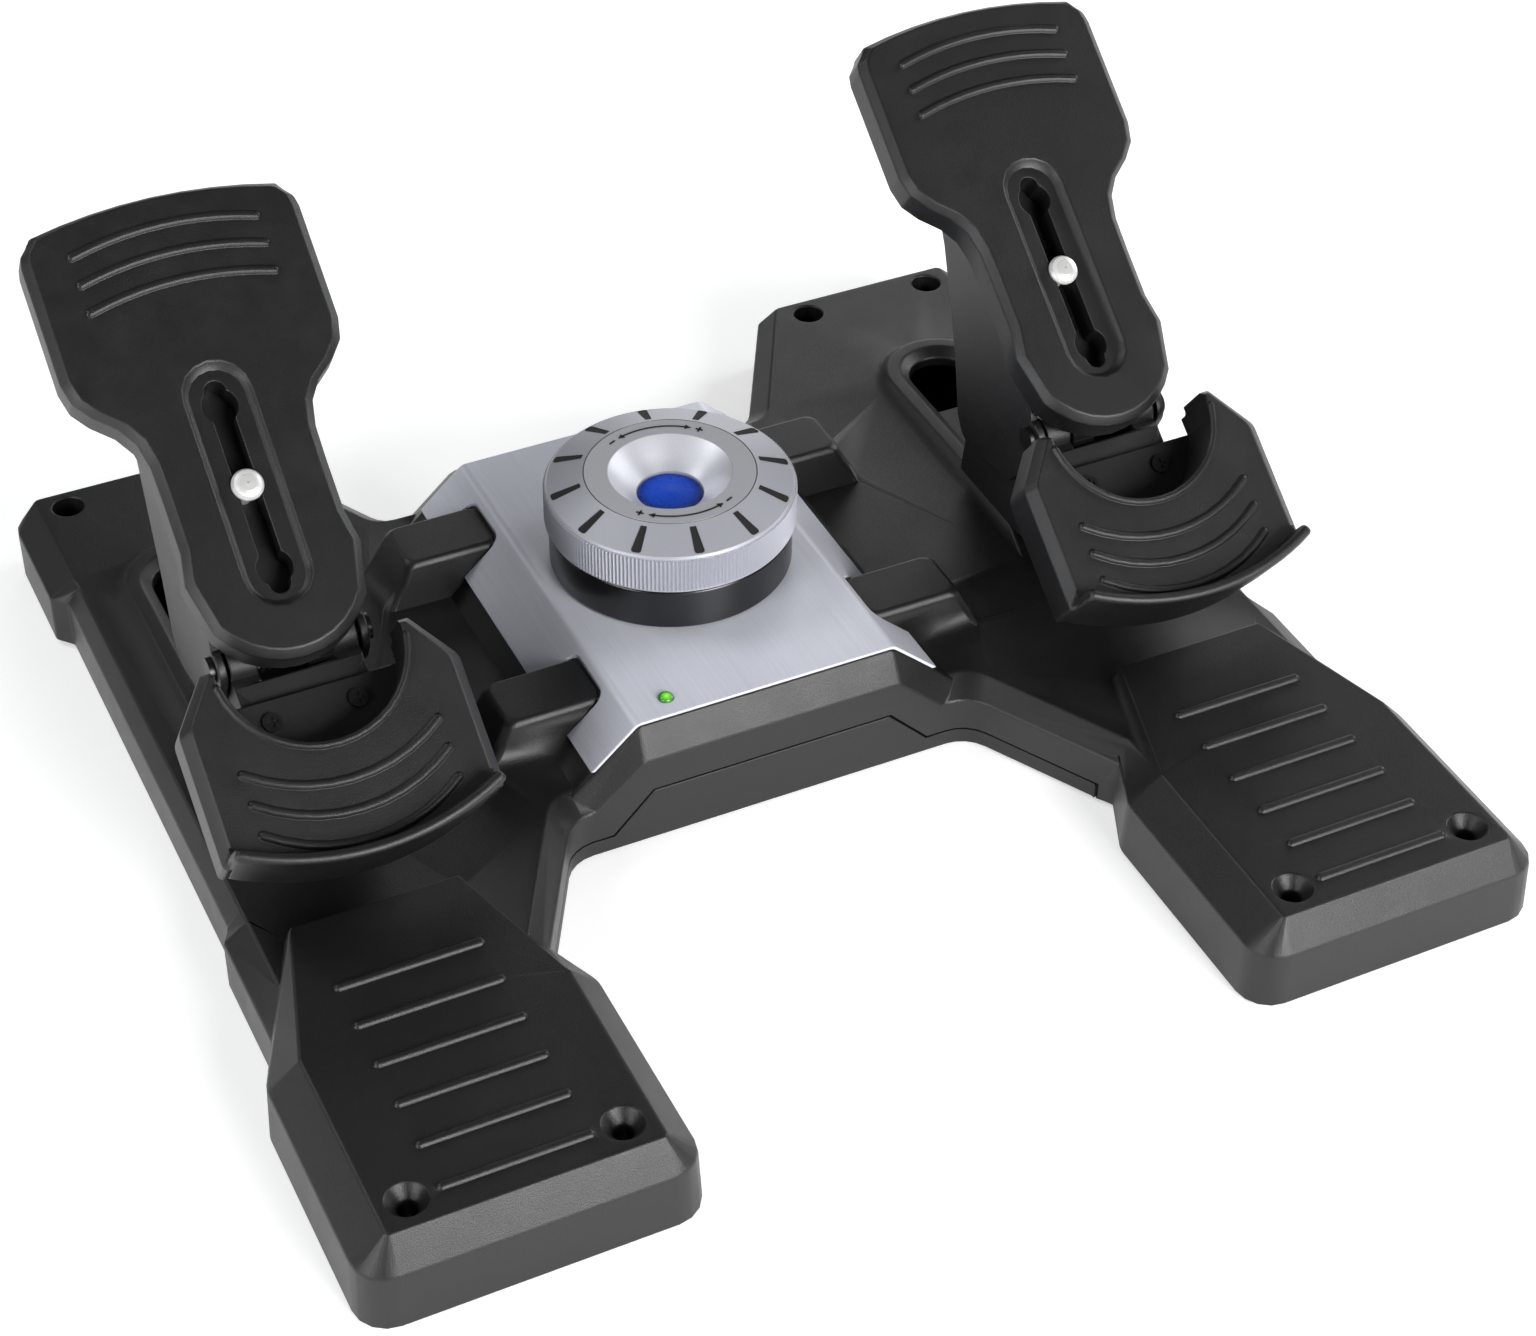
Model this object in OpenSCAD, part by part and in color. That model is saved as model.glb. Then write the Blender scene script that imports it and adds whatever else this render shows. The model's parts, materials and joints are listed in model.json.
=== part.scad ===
// Flight simulator rudder pedals: a wide moulded base with two pedal carriages that move
// fore and aft as a parallelogram, toe brakes on both pedals, and a tension knob.
// X runs to the right, Y away from the user, Z up; the origin is under the middle of the base.

/* [Base] */
// Width over the two heel blocks
base_w = 430; // [424:1:440]
// Depth from the front of the heel blocks to the rear edge of the wings
base_d = 412; // [408:1:420]
// Height of the rubber feet below the walls
foot_h = 1.5; // [1:0.5:3]
// Thickness of the moulded walls
wall = 3; // [2:0.25:3.5]
// Height of the wings above the foot of the walls
wing_h = 26.5; // [25.5:0.5:28]
// Height of the bevel round the wings
wing_bevel_h = 6.5; // [5:0.5:8]
// Width of the bevel along the outer sides of the wings
wing_bevel = 9.6; // [7:0.2:10]
// Width of the bevel along the inner sides of the wings
inner_bevel = 7.5; // [6:0.25:9]
// Step of the wings' rear blocks in from the sides of the base
rear_inset = 7.8; // [6:0.2:9]
// Step of the wings' waist in from the sides of the base
waist_inset = 13.2; // [11:0.2:15]
// Step of the wings in from the sides of the base just behind the heel blocks
shoulder_inset = 9.6; // [8:0.2:11]

/* [Heel plates] */
// Distance of each heel plate's middle from the side of the base
heel_inset = 57.85; // [56:0.25:60]
// Height of the heel plates above the foot of the walls
heel_h = 34; // [32:0.5:37]
// Height of the bevel round the heel blocks
heel_bevel_h = 12.2; // [9:0.2:13]
// Width of the flat top of a heel plate
heel_top_w = 91.7; // [88:0.5:94]
// Width of the heel plate's tongue at its rear end
tongue_w = 59; // [54:1:64]
// Length over which a heel plate narrows to its tongue
tongue_run = 56.5; // [50:0.5:62]
// Distance from a heel plate's tongue to the front end of its slot's straight sides
tongue_gap = 51.5; // [48:0.5:55]
// Number of grip ribs on a heel plate
heel_ribs = 6; // [4:1:6]
// Length of a grip rib
heel_rib_len = 48.4; // [40:0.2:56]
// Distance from the last grip rib to the rear end of the tongue
heel_rib_gap = 32.35; // [28:0.25:38]
// Radius of the grip ribs' round tops
heel_rib_r = 1.9; // [1.2:0.1:2.4]
// Distance between the two screw holes of a heel plate
mount_pitch = 70.7; // [66:0.1:74]
// Diameter of the screw holes
mount_hole_d = 6.5; // [5:0.1:7.5]
// Diameter of the countersinks
countersink_d = 14.4; // [12:0.2:16]

/* [Centre housing] */
// Distance of the knob's axis behind the middle of the base
knob_y = 45.6; // [43:0.2:48]
// Width of the flat top of the centre housing
housing_top_w = 100; // [94:1:106]
// Height of the cover's flat top above the foot of the walls
cover_h = 49.5; // [48.5:0.5:52]
// Length of the sheet cover
cover_len = 164.5; // [160:0.5:170]
// Thickness of the sheet cover
cover_t = 1.2; // [0.8:0.1:1.6]
// Height of the cover's lower edges above the foot of the walls
cover_edge_h = 33.3; // [31:0.1:36]
// Height of the bevel in front of the cover
housing_bevel_h = 11.7; // [9:0.1:13]
// Width of the bevel in front of the cover
housing_bevel = 6; // [4:0.25:8]
// Width of a shroud at its foot
shroud_w = 28; // [24:0.5:30]
// Height of the shrouds above the foot of the walls
shroud_h = 45; // [42:0.5:47]
// Distance of the shrouds' outer ends from the centre line
shroud_reach = 101; // [98:0.5:104]
// Diameter of the indicator lamp
lamp_d = 5.4; // [4:0.1:7]

/* [Knob] */
// Diameter of the tension knob
knob_d = 92; // [84:1:96]
// Height of the knob's silver part
knob_h = 14.8; // [12:0.2:17]
// Height of the black collar under the knob
collar_h = 17; // [15:0.5:20]
// Diameter of the collar under the knob
collar_d = 89; // [82:1:90]
// Number of marks round the knob
knob_marks = 12; // [8:1:16]
// Number of serrations round the knob
knob_teeth = 96; // [60:4:120]
// Diameter of the round cap in the middle of the knob
knob_cap_d = 24; // [20:0.5:28]
// Diameter of the knob's spindle
spindle_d = 8; // [6:0.5:9]
// Travel of the tension nut each way
nut_travel = 2.25; // [1.5:0.25:3]

/* [Link arms] */
// Distance between the two arms' pivots
arm_gap = 97.5; // [94:0.5:100]
// Distance of the carriage pins outside the pedals' middle planes
pin_out = 4; // [2:0.5:5]
// Width of the link arms
arm_w = 22; // [18:0.5:24]
// Thickness of the link arms
arm_t = 6; // [5:0.25:6.5]
// Diameter of the link pins
link_pin_d = 8; // [6:0.5:9]
// Diameter of the front arm's pivot post
post_d = 12; // [10:0.5:14]

/* [Pedals] */
// Distance of the pedals' middle planes from the sides of the base
pedal_inset = 59; // [57:0.5:61]
// Slope of the toe plates in degrees
toe_slope = 37; // [35:0.5:38]
// Length of a toe plate
toe_len = 162; // [158:1:168]
// Width of a toe plate's head
toe_head_w = 91; // [86:1:94]
// Width of a toe plate's neck
toe_neck_w = 51; // [50:0.5:52]
// Width of a toe plate's round foot
toe_foot_w = 55; // [54.5:0.5:56]
// Thickness of a toe plate
toe_t = 14; // [12:0.5:14]
// Width of the bevel round a toe plate
toe_bevel = 3; // [2:0.25:3.5]
// Slide of a toe plate each way from the middle of its slot
toe_slide = 16; // [12:1:20]
// Outer width of a brake lever
lever_w = 53; // [52:0.5:54]
// Diameter of the brake levers' hinge pins
hinge_d = 6; // [5:0.25:7]
// Diameter of the clamp bolts' heads
bolt_head_d = 11; // [10:0.25:11.5]
// Diameter of the clamp bolts
bolt_d = 6; // [5:0.25:6.5]

/* [Heel cups] */
// Slope of the heel cups in degrees
cup_slope = 36; // [35:0.5:38]
// Width of a heel cup's top face
cup_w = 89; // [86:0.5:92]
// Length of a heel cup's sides from the notch's peaks
cup_len = 62; // [58:0.5:65]
// Radius of the round notch
notch_r = 32; // [32:0.25:33]
// Depth of a heel cup's side walls
cup_depth = 19; // [16:0.5:20]
// Width and depth of the bevel round a heel cup
cup_bevel = 4; // [3:0.25:5]
// Height of the lip above a heel cup's face
lip_h = 11; // [8:0.5:13]

/* [Hidden] */

// Facets of round parts and steps along a rounded corner of a lofted outline
$fn = 48;
corner_steps = 4;
fine_steps = 6;
bead_steps = 4;
rib_steps = 10;
rim_steps = 18;
coil_sides = 6;
coil_rings = 8;
// Length by which a cutter overruns the solid that it cuts
over = 1;
// Least radius of a corner that an inner wall keeps
small_r = 0.6;
// Clearances: running fit, pieces seated on each other, pieces that pass each other
fit = 0.05;
seat = 0.1;
gap = 0.3;

// Colours of the mouldings and metals
black = [0.10, 0.10, 0.105];
charcoal = [0.17, 0.17, 0.18];
silver = [0.72, 0.74, 0.78];
steel = [0.62, 0.63, 0.65];
zinc = [0.9, 0.9, 0.88];
blue = [0.08, 0.2, 0.62];
green = [0.25, 0.8, 0.15];
board_green = [0.05, 0.3, 0.12];
rubber = [0.06, 0.06, 0.06];

// Height above the foot of the walls to a Z coordinate
function height(h) = foot_h + h;
wing_z = height(wing_h);
heel_z = height(heel_h);
cover_z = height(cover_h);
roof_z = wing_z - wall;

// Middle planes of the heel plates and pedals
heel_x = base_w / 2 - heel_inset;
pedal_x = base_w / 2 - pedal_inset;
arm_reach = pedal_x + pin_out;

// Places along the base: slots and housing about the knob, heel plates ahead, wings behind
slot_ahead = 58.6;
slot_behind = 85;
slot_front = knob_y - slot_ahead;
slot_rear = knob_y + slot_behind;
heel_front_run = 8;
heel_front = -base_d / 2 + heel_front_run;
tongue_y = slot_front - tongue_gap;
kink_y = tongue_y - tongue_run;
cover_front = knob_y - cover_len / 2;
cover_rear = knob_y + cover_len / 2;
housing_front = cover_front - housing_bevel;
housing_rear_run = 14;
housing_rear = cover_rear + housing_rear_run;
wing_rear = base_d / 2;
wing_rear_run = 1.6;
arm_mid_back = 1.65;
arm_mid = knob_y + arm_mid_back;
front_arm_y = arm_mid - arm_gap / 2;
rear_arm_y = arm_mid + arm_gap / 2;

// Wing outline: places of its steps and corners
rear_half = base_w / 2 - rear_inset;
waist_half = base_w / 2 - waist_inset;
shoulder_half = base_w / 2 - shoulder_inset;
leg_out = 28.4;
leg_x = housing_top_w / 2 + leg_out;
leg_in = 39.15;
leg_end_x = heel_x - leg_in;
leg_back = 7;
leg_front = kink_y + leg_back;
leg_r = 14;
leg_bevel_x = 3.8;
leg_bevel_y = 8.4;
front_step_back = 16;
front_step_y = tongue_y + front_step_back;
rear_block = 61;
rear_step_y = wing_rear - rear_block;
step_run = 6;
step_r = 3;
wing_corner_r = 12;
top_corner_r = 2;
rear_inner_in = 102.1;
rear_inner_x = base_w / 2 - rear_inner_in;
rear_leg_out = 27.6;
rear_leg_x = housing_top_w / 2 + rear_leg_out;
rear_leg_bevel_x = 5.3;
rear_leg_bevel_y = 6.8;
// How far the bevel's upper edge runs inside its line at the four corners of a wing's side
edge_in = [1, 0.9, 0.7, 0.4];

// Corners of an outline are [x, y, radius]; the list goes counter-clockwise
function xy(c) = [c.x, c.y];
function unit(v) = v / norm(v);
function cross2(a, b) = a.x * b.y - a.y * b.x;
function turn_of(c, i) = let (n = len(c), b = xy(c[i]))
    cross2(b - xy(c[(i + n - 1) % n]), xy(c[(i + 1) % n]) - b);

// The points of one rounded corner
function corner_arc(a, b, c, r, steps) = let (
    u = unit(a - b), v = unit(c - b),
    half = acos(u * v) / 2,
    centre = b + unit(u + v) * r / sin(half),
    p = b + u * r / tan(half) - centre,
    q = b + v * r / tan(half) - centre,
    start = atan2(p.y, p.x),
    sweep = (atan2(q.y, q.x) - start + 3 * 180) % 360 - 180)
    [for (i = [0:steps]) centre + r * [cos(start + sweep * i / steps),
        sin(start + sweep * i / steps)]];

// A closed outline with every corner rounded
function rounded(c, steps = corner_steps) = let (n = len(c))
    [for (i = [0:n - 1]) each corner_arc(xy(c[(i + n - 1) % n]), xy(c[i]), xy(c[(i + 1) % n]),
        c[i].z, steps)];

// The corners moved inwards by d, with the radii that keep the wall even
function shrink(c, d, least_r = small_r) = let (n = len(c))
    [for (i = [0:n - 1]) let (
        b = xy(c[i]),
        u = unit(b - xy(c[(i + n - 1) % n])),
        v = unit(xy(c[(i + 1) % n]) - b),
        m = unit([-u.y - v.y, u.x + v.x]),
        p = b + m * d / (m * [-u.y, u.x]))
        [p.x, p.y, turn_of(c, i) > 0 ? max(c[i].z - d, least_r) : max(c[i].z + d, least_r)]];

// A half outline joined to its mirror image
function both_sides(c) = concat(c, [for (i = [len(c) - 1:-1:0]) [-c[i].x, c[i].y, c[i].z]]);

// Solid through outlines of equal count, each at its own height
module loft(rings) {
    n = len(rings[0][0]);
    m = len(rings);
    points = [for (r = rings) for (p = r[0]) [p.x, p.y, r[1]]];
    sides = [for (k = [0:m - 2], i = [0:n - 1]) let (j = (i + 1) % n)
        each [[k * n + i, (k + 1) * n + i, (k + 1) * n + j], [k * n + i, (k + 1) * n + j, k * n + j]]];
    bottom = [for (i = [0:n - 1]) i];
    top = [for (i = [n - 1:-1:0]) (m - 1) * n + i];
    polyhedron(concat(points), concat([bottom], sides, [top]));
}

// Extrusions of an outline in the XZ plane along Y, and in the YZ plane along X
module along_y(y0, y1) {
    translate([0, y1, 0]) rotate([90, 0, 0]) linear_extrude(y1 - y0) children();
}
module along_x(x0, x1) {
    translate([x0, 0, 0]) rotate([90, 0, 90]) linear_extrude(x1 - x0) children();
}

// A straight round bar along X, and an upright cylinder between two heights
module bar_x(x0, x1, r) {
    translate([x0, 0, 0]) rotate([0, 90, 0]) cylinder(r = r, h = x1 - x0);
}
module column(x, y, z0, z1, d) {
    translate([x, y, z0]) cylinder(d = d, h = z1 - z0);
}
function about(c, half) = [c - half, c + half];
function beside(c, low, high) = [c + low, c + high];
module block(x, y, z) {
    translate([x[0], y[0], z[0]]) cube([x[1] - x[0], y[1] - y[0], z[1] - z[0]]);
}

// Places a piece in both halves, or in the half of one side: -1 is left and 1 is right
module mirrored() {
    children();
    mirror([1, 0, 0]) children();
}
module on_side(side) {
    mirror([side < 0 ? 1 : 0, 0, 0]) children();
}

// Ridge with the given section [outwards, up] along an arc about the Z axis, its ends rounded
// off over end_r; dir is the direction of its middle
end_turns = [80, 55, 28, 0];
module ridge(radius, section, half_angle, dir, end_r, steps) {
    n = len(section);
    function past(turn) = asin(end_r * sin(turn) / radius);
    stations = concat([for (t = end_turns) [-half_angle - past(t), cos(t)]],
        [for (i = [1:steps - 1]) [half_angle * (2 * i / steps - 1), 1]],
        [for (k = [3:-1:0]) [half_angle + past(end_turns[k]), cos(end_turns[k])]]);
    points = [for (t = stations, p = section) let (a = dir + t.x, r = radius + p.x * t.y)
        [r * cos(a), r * sin(a), p.y > 0 ? p.y * t.y : p.y]];
    sides = [for (i = [0:len(stations) - 2], k = [0:n - 1]) let (p = i * n + k, q = i * n + (k + 1) % n)
        each [[p, q, q + n], [p, q + n, p + n]]];
    first = [for (k = [n - 1:-1:0]) k];
    last = [for (k = [0:n - 1]) (len(stations) - 1) * n + k];
    polyhedron(points, concat([first], sides, [last]));
}

// Round-topped section of half width r and height h, its foot sunk to -low
function round_top(r, h, low) = concat([[-r, -low], [r, -low]], [for (i = [0:bead_steps])
    let (a = 180 * i / bead_steps) [r * cos(a), h - min(r, h) + min(r, h) * sin(a)]]);

// Round wire along a helix about the Z axis, from z0 upwards
function spoke(a) = [cos(a), sin(a), 0];
module coil(radius, wire_r, turns, length, z0) {
    count = turns * coil_rings;
    slope = atan2(length / turns, 2 * PI * radius);
    points = [for (i = [0:count], k = [0:coil_sides - 1]) let (
        a = 360 * i / coil_rings, b = 360 * k / coil_sides,
        side = [sin(a) * sin(slope), -cos(a) * sin(slope), cos(slope)])
        radius * spoke(a) + [0, 0, z0 + length * i / count]
            + wire_r * (cos(b) * spoke(a) + sin(b) * side)];
    sides = [for (i = [0:count - 1], k = [0:coil_sides - 1]) let (
        p = i * coil_sides + k, q = i * coil_sides + (k + 1) % coil_sides)
        each [[p, q, q + coil_sides], [p, q + coil_sides, p + coil_sides]]];
    first = [for (k = [coil_sides - 1:-1:0]) k];
    last = [for (k = [0:coil_sides - 1]) count * coil_sides + k];
    polyhedron(points, concat([first], sides, [last]));
}

// Base outlines

// Foot of the wings' walls and the upper edge of their bevels
wing_foot = both_sides([
    [leg_x, housing_front, leg_r],
    [leg_end_x, leg_front, step_r],
    [shoulder_half, leg_front, step_r],
    [shoulder_half, front_step_y, step_r],
    [waist_half, front_step_y + step_run, step_r],
    [waist_half, rear_step_y, step_r],
    [rear_half, rear_step_y + step_run, step_r],
    [rear_half, wing_rear, wing_corner_r],
    [rear_inner_x, wing_rear, step_r],
    [rear_leg_x, housing_rear, wing_corner_r]]);
wing_line = rear_half - wing_bevel;
wing_top = both_sides([
    [leg_x + leg_bevel_x, housing_front + leg_bevel_y, leg_r],
    [leg_end_x + leg_bevel_y, leg_front, step_r],
    [wing_line - edge_in[0], leg_front, step_r],
    [wing_line - edge_in[0], front_step_y, step_r],
    [wing_line - edge_in[1], front_step_y + step_run, step_r],
    [wing_line - edge_in[2], rear_step_y, step_r],
    [wing_line - edge_in[3], rear_step_y + step_run, step_r],
    [wing_line, wing_rear - wing_rear_run, top_corner_r],
    [rear_inner_x + inner_bevel, wing_rear - wing_rear_run, step_r],
    [rear_leg_x + rear_leg_bevel_x, housing_rear - rear_leg_bevel_y, wing_corner_r]]);

// Heel block at its foot, under its bevel and on top
heel_draft = 1;
heel_kink_run = 3;
heel_r = 12;
heel_top_r = 1.5;
tongue_draft = 3;
function heel_outline(half, front, kink, rear_half, rear, r, kink_r) = [
    [heel_x - half, front, r], [heel_x + half, front, r],
    [heel_x + half, kink, kink_r], [heel_x + rear_half, rear, heel_top_r],
    [heel_x - rear_half, rear, heel_top_r], [heel_x - half, kink, kink_r]];
heel_foot = heel_outline(heel_inset, -base_d / 2, kink_y + heel_kink_run,
    tongue_w / 2 + tongue_draft, tongue_y + tongue_draft, heel_r, heel_r);
heel_brow = heel_outline(heel_inset - heel_draft, -base_d / 2 + heel_draft,
    kink_y + heel_kink_run, tongue_w / 2 + tongue_draft, tongue_y + tongue_draft, heel_r, heel_r);
heel_top = heel_outline(heel_top_w / 2, heel_front, kink_y, tongue_w / 2, tongue_y,
    heel_top_r, heel_top_r);

// Front and top profiles of the centre housing, in the XZ plane
housing_low = 14;
cover_spread = 17.8;
cover_slope = -cover_spread / (cover_h - cover_edge_h);
cover_side = cover_t * sqrt(1 + cover_slope * cover_slope);
housing_half = housing_top_w / 2 - cover_side - cover_t * cover_slope - seat;
housing_edge = 1;
function housing_profile(drop, grow) = let (
    top = cover_z - cover_t - seat - drop, low = height(housing_low), half = housing_half - grow,
    right = [[half - (top - low) * cover_slope, low],
        [half - housing_edge * cover_slope, top - housing_edge], [half - housing_edge, top]])
    concat(right, [for (i = [2:-1:0]) [-right[i].x, right[i].y]]);

// Slots of the wings
slot_out = 3.35;
slot_x = pedal_x + slot_out;
slot_half = 12.85;
rim_h = 4.2;
rim_slope = 5.4;
rim_land = 5.2;
rim_chamfer = 4.2;
rim_fade_end = 8.6;
rim_fade_run = 23;
rim_fade_rear = knob_y - rim_fade_end;
rim_fade_front = rim_fade_rear - rim_fade_run;
function slot_outline(grow) = [for (i = [0:2 * fine_steps]) let (a = 180 * i / (2 * fine_steps))
        [slot_x + (slot_half + grow) * cos(a), slot_rear + (slot_half + grow) * sin(a)],
    for (i = [0:2 * fine_steps]) let (a = 180 + 180 * i / (2 * fine_steps))
        [slot_x + (slot_half + grow) * cos(a), slot_front + (slot_half + grow) * sin(a)]];

// Tray and its fastenings
tray_t = 3;
tray_z = foot_h + tray_t;
tray_rim_h = 6.5;
tray_peak_h = 22.5;
tray_peak_in = 3.5;
tray_peak_half = housing_top_w / 2 - tray_peak_in;
tray_peak_run = 15.5;
tray_zone_out = 27.1;
tray_zone_x = leg_x + tray_zone_out;
tray_zone_run = 48.35;
tray_zone_front = housing_front - tray_zone_run;
foot_d = 18;
foot_pocket = 1.5;
foot_front = 36;
foot_rear_out = 14;
foot_rear_in = 44;
foot_mid_x = 60;
foot_mid_back = 24;
foot_side_out = 16;
foot_side_back = 14;
foot_places = [[heel_x, heel_front + foot_front], [pedal_x + foot_rear_out, wing_rear - foot_rear_in],
    [foot_mid_x, housing_front + foot_mid_back], [pedal_x + foot_side_out, tongue_y + foot_side_back]];
screw_d = 3;
screw_head_d = 6.6;
screw_head_h = 2.4;
screw_sink = 0.2;
cross_w = 1;
boss_d = 9;
well_d = 15.5;
well_bore = 11.9;
well_floor = 18;
well_outer_in = 28.4;
well_inner_in = 84.2;
well_ahead = 11;
well_places = [[base_w / 2 - well_outer_in, wing_rear - well_ahead],
    [base_w / 2 - well_inner_in, wing_rear - well_ahead]];
// Screws from below stand clear of the arms' sweep
heel_screw_half = 28;
heel_screw_back = 62;
leg_screw_out = 25.6;
leg_screw_ahead = 19.4;
rear_screw_out = 22.4;
rear_screw_back = 8.2;
under_places = [[heel_x - heel_screw_half, heel_front + heel_screw_back, heel_z - wall],
    [heel_x + heel_screw_half, heel_front + heel_screw_back, heel_z - wall],
    [leg_x + leg_screw_out, housing_front - leg_screw_ahead, roof_z],
    [rear_leg_x + rear_screw_out, housing_rear + rear_screw_back, roof_z]];
mount_places = [heel_x - mount_pitch / 2, heel_x + mount_pitch / 2];
mount_back = 10.65;
mount_y = heel_front + mount_back;
heel_rib_pitch = (tongue_y - heel_rib_gap - mount_y) / (heel_ribs - 1);
mount_boss_d = 20;
countersink_h = 5;

// Link arms, carriages and the drag under the knob
arm_z = 8;
hub_d = 30;
hub_h = 12;
post_top = 36;
carriage_z = arm_z + arm_t + gap + seat;
carriage_t = 8;
shield_t = 1.2;
shield_z = carriage_z + carriage_t + seat;
carriage_half = 12;
carriage_end = 12;
neck_out = 5;
neck_x = pedal_x + neck_out;
neck_w = 10;
neck_len = 48;
sector_r = 64;
sector_angle = 26;
pad_d = 21;
pad_t = 3;
pad_z = arm_z + arm_t + gap;
tower_half = 11.3;
tower_wall = 2.5;
tower_gap = 2.4;
tower_z = pad_z + tower_gap;
nut_half = 11;
nut_t = 6;
nut_z = 34;
spring_wire = 0.9;
spring_r = 7.4;
roof_centre = cover_z - cover_t - wall;

// Pedal frames: the toe plate's face, the heel cup's face and the hinge between them
toe_ahead = 52.6;
toe_h = 100;
cup_ahead = 57.6;
cup_h = 102;
toe_y = knob_y - toe_ahead;
toe_z = height(toe_h);
cup_y = knob_y - cup_ahead;
cup_z = height(cup_h);
hinge_v = 5.4;
hinge_drop = 23.5;
hinge_y = toe_y + hinge_v * cos(toe_slope) + hinge_drop * sin(toe_slope);
hinge_z = toe_z + hinge_v * sin(toe_slope) - hinge_drop * cos(toe_slope);
web_t = 3;
web_top = -toe_t - gap;
lever_wall = 3;
hinge_r = 6.8;
cup_plate_t = 3.5;
cup_floor = -21;
cup_floor_t = 3;
cup_wall = 3;

module toe_frame() translate([pedal_x, toe_y, toe_z]) rotate([toe_slope, 0, 0]) children();
module cup_frame() translate([pedal_x, cup_y, cup_z]) rotate([cup_slope, 0, 0]) children();
module hinge_frame() translate([pedal_x, hinge_y, hinge_z]) children();

// Base pieces

// The wings' solid, its foot reaching down by extra, with all walls moved in by d
module wing_solid(d, lower, extra) {
    loft([[rounded(shrink(wing_foot, d)), foot_h - extra],
        [rounded(shrink(wing_foot, d)), wing_z - wing_bevel_h - lower * 0.5],
        [rounded(shrink(wing_top, d)), wing_z - lower]]);
}
module heel_solid(d, lower, extra) {
    loft([[rounded(shrink(heel_foot, d)), foot_h - extra],
        [rounded(shrink(heel_brow, d)), heel_z - heel_bevel_h - lower * 0.5],
        [rounded(shrink(heel_top, d)), heel_z - lower]]);
}
module housing_solid(d, lower) {
    full = housing_profile(lower, lower * 0.5);
    bevelled = housing_profile(lower + housing_bevel_h, lower * 0.5);
    rotate([90, 0, 0]) loft([
        [bevelled, -housing_rear + d], [full, -cover_rear + d * 0.5],
        [full, -cover_front - d * 0.5], [bevelled, -housing_front - d]]);
}

// Raised rim round a slot, fading into the wing at its front end
module slot_rim() {
    intersection() {
        loft([[slot_outline(rim_chamfer + rim_land + rim_slope), wing_z - over],
            [slot_outline(rim_chamfer + rim_land + rim_slope), wing_z],
            [slot_outline(rim_chamfer + rim_land), wing_z + rim_h]]);
        along_x(slot_x - 2 * base_w, slot_x + 2 * base_w)
            polygon([[rim_fade_front, wing_z - over], [wing_rear, wing_z - over],
                [wing_rear, wing_z + rim_h + over], [rim_fade_rear + over, wing_z + rim_h + over],
                [rim_fade_rear, wing_z + rim_h], [rim_fade_front, wing_z]]);
    }
}
module slot_cut() {
    loft([[slot_outline(0), roof_z - over], [slot_outline(0), wing_z + rim_h - rim_chamfer * 0.7],
        [slot_outline(rim_chamfer), wing_z + rim_h], [slot_outline(rim_chamfer), wing_z + rim_h + over]]);
}

// One shroud of the centre housing, grown by g all round
shroud_in = 53;
shroud_r = 4;
function shroud_outline(out, half) = [[shroud_in, -half, shroud_r], [out, -half, shroud_r],
    [out, half, shroud_r], [shroud_in, half, shroud_r]];
shroud_half = shroud_w / 2;
shroud_wall = 2.5;
shroud_waist_in = 0.9;
shroud_knee = 10;
shroud_round = 1.6;
// How far a shroud's end and sides draw in at its four levels
shroud_end_in = [0, 8, 11.5, 13];
shroud_side_in = [0, 0.8, 1.6, 3];
shroud_levels = [wing_z - wall, wing_z + shroud_knee, height(shroud_h) - shroud_round,
    height(shroud_h)];
module shroud(y, inner = 0) {
    translate([0, y, 0]) loft([for (i = [0:3]) [rounded(shrink(shroud_outline(
        shroud_reach - shroud_end_in[i], shroud_half - shroud_side_in[i]), inner)),
        shroud_levels[i] - inner]]);
}
module shroud_opening(y) {
    translate([0, y, wing_z]) linear_extrude(cover_h)
        polygon(rounded(shrink(shroud_outline(shroud_reach, shroud_half - shroud_waist_in), -gap)));
}

// Band of the front wall that belongs to the tray, from its foot to the parting line
module tray_zone(g) {
    rim = height(tray_rim_h) - g;
    along_y(tray_zone_front + g, housing_front + wall + over) polygon([
        [-tray_zone_x + g, foot_h - over], [tray_zone_x - g, foot_h - over],
        [tray_zone_x - g, rim], [tray_peak_half + tray_peak_run - g, rim],
        [tray_peak_half - g, height(tray_peak_h) - g],
        [-tray_peak_half + g, height(tray_peak_h) - g],
        [-tray_peak_half - tray_peak_run + g, rim], [-tray_zone_x + g, rim]]);
}

module heel_rib_row() {
    for (i = [0:heel_ribs - 1])
        translate([0, mount_y + i * heel_rib_pitch, heel_z - heel_rib_r * 0.25]) {
            bar_x(heel_x - heel_rib_len / 2, heel_x + heel_rib_len / 2, heel_rib_r);
            for (s = [-1, 1]) translate([heel_x + s * heel_rib_len / 2, 0, 0])
                sphere(r = heel_rib_r, $fn = 24);
        }
}

// The walls of the base in one body: its outer forms less its inner ones and the slots.
// A size of 0 leaves the body's size as it is.
module shell_walls() resize([0, 0, 0]) difference() {
    union() {
        wing_solid(0, 0, 0);
        housing_solid(0, 0);
        mirrored() {
            heel_solid(0, 0, 0);
            slot_rim();
            for (y = [front_arm_y, rear_arm_y]) shroud(y);
        }
    }
    wing_solid(wall, wall, over);
    housing_solid(wall, wall);
    mirrored() {
        heel_solid(wall, wall, over);
        for (y = [front_arm_y, rear_arm_y]) shroud(y, shroud_wall);
        slot_cut();
    }
    tray_zone(0);
}

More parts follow.
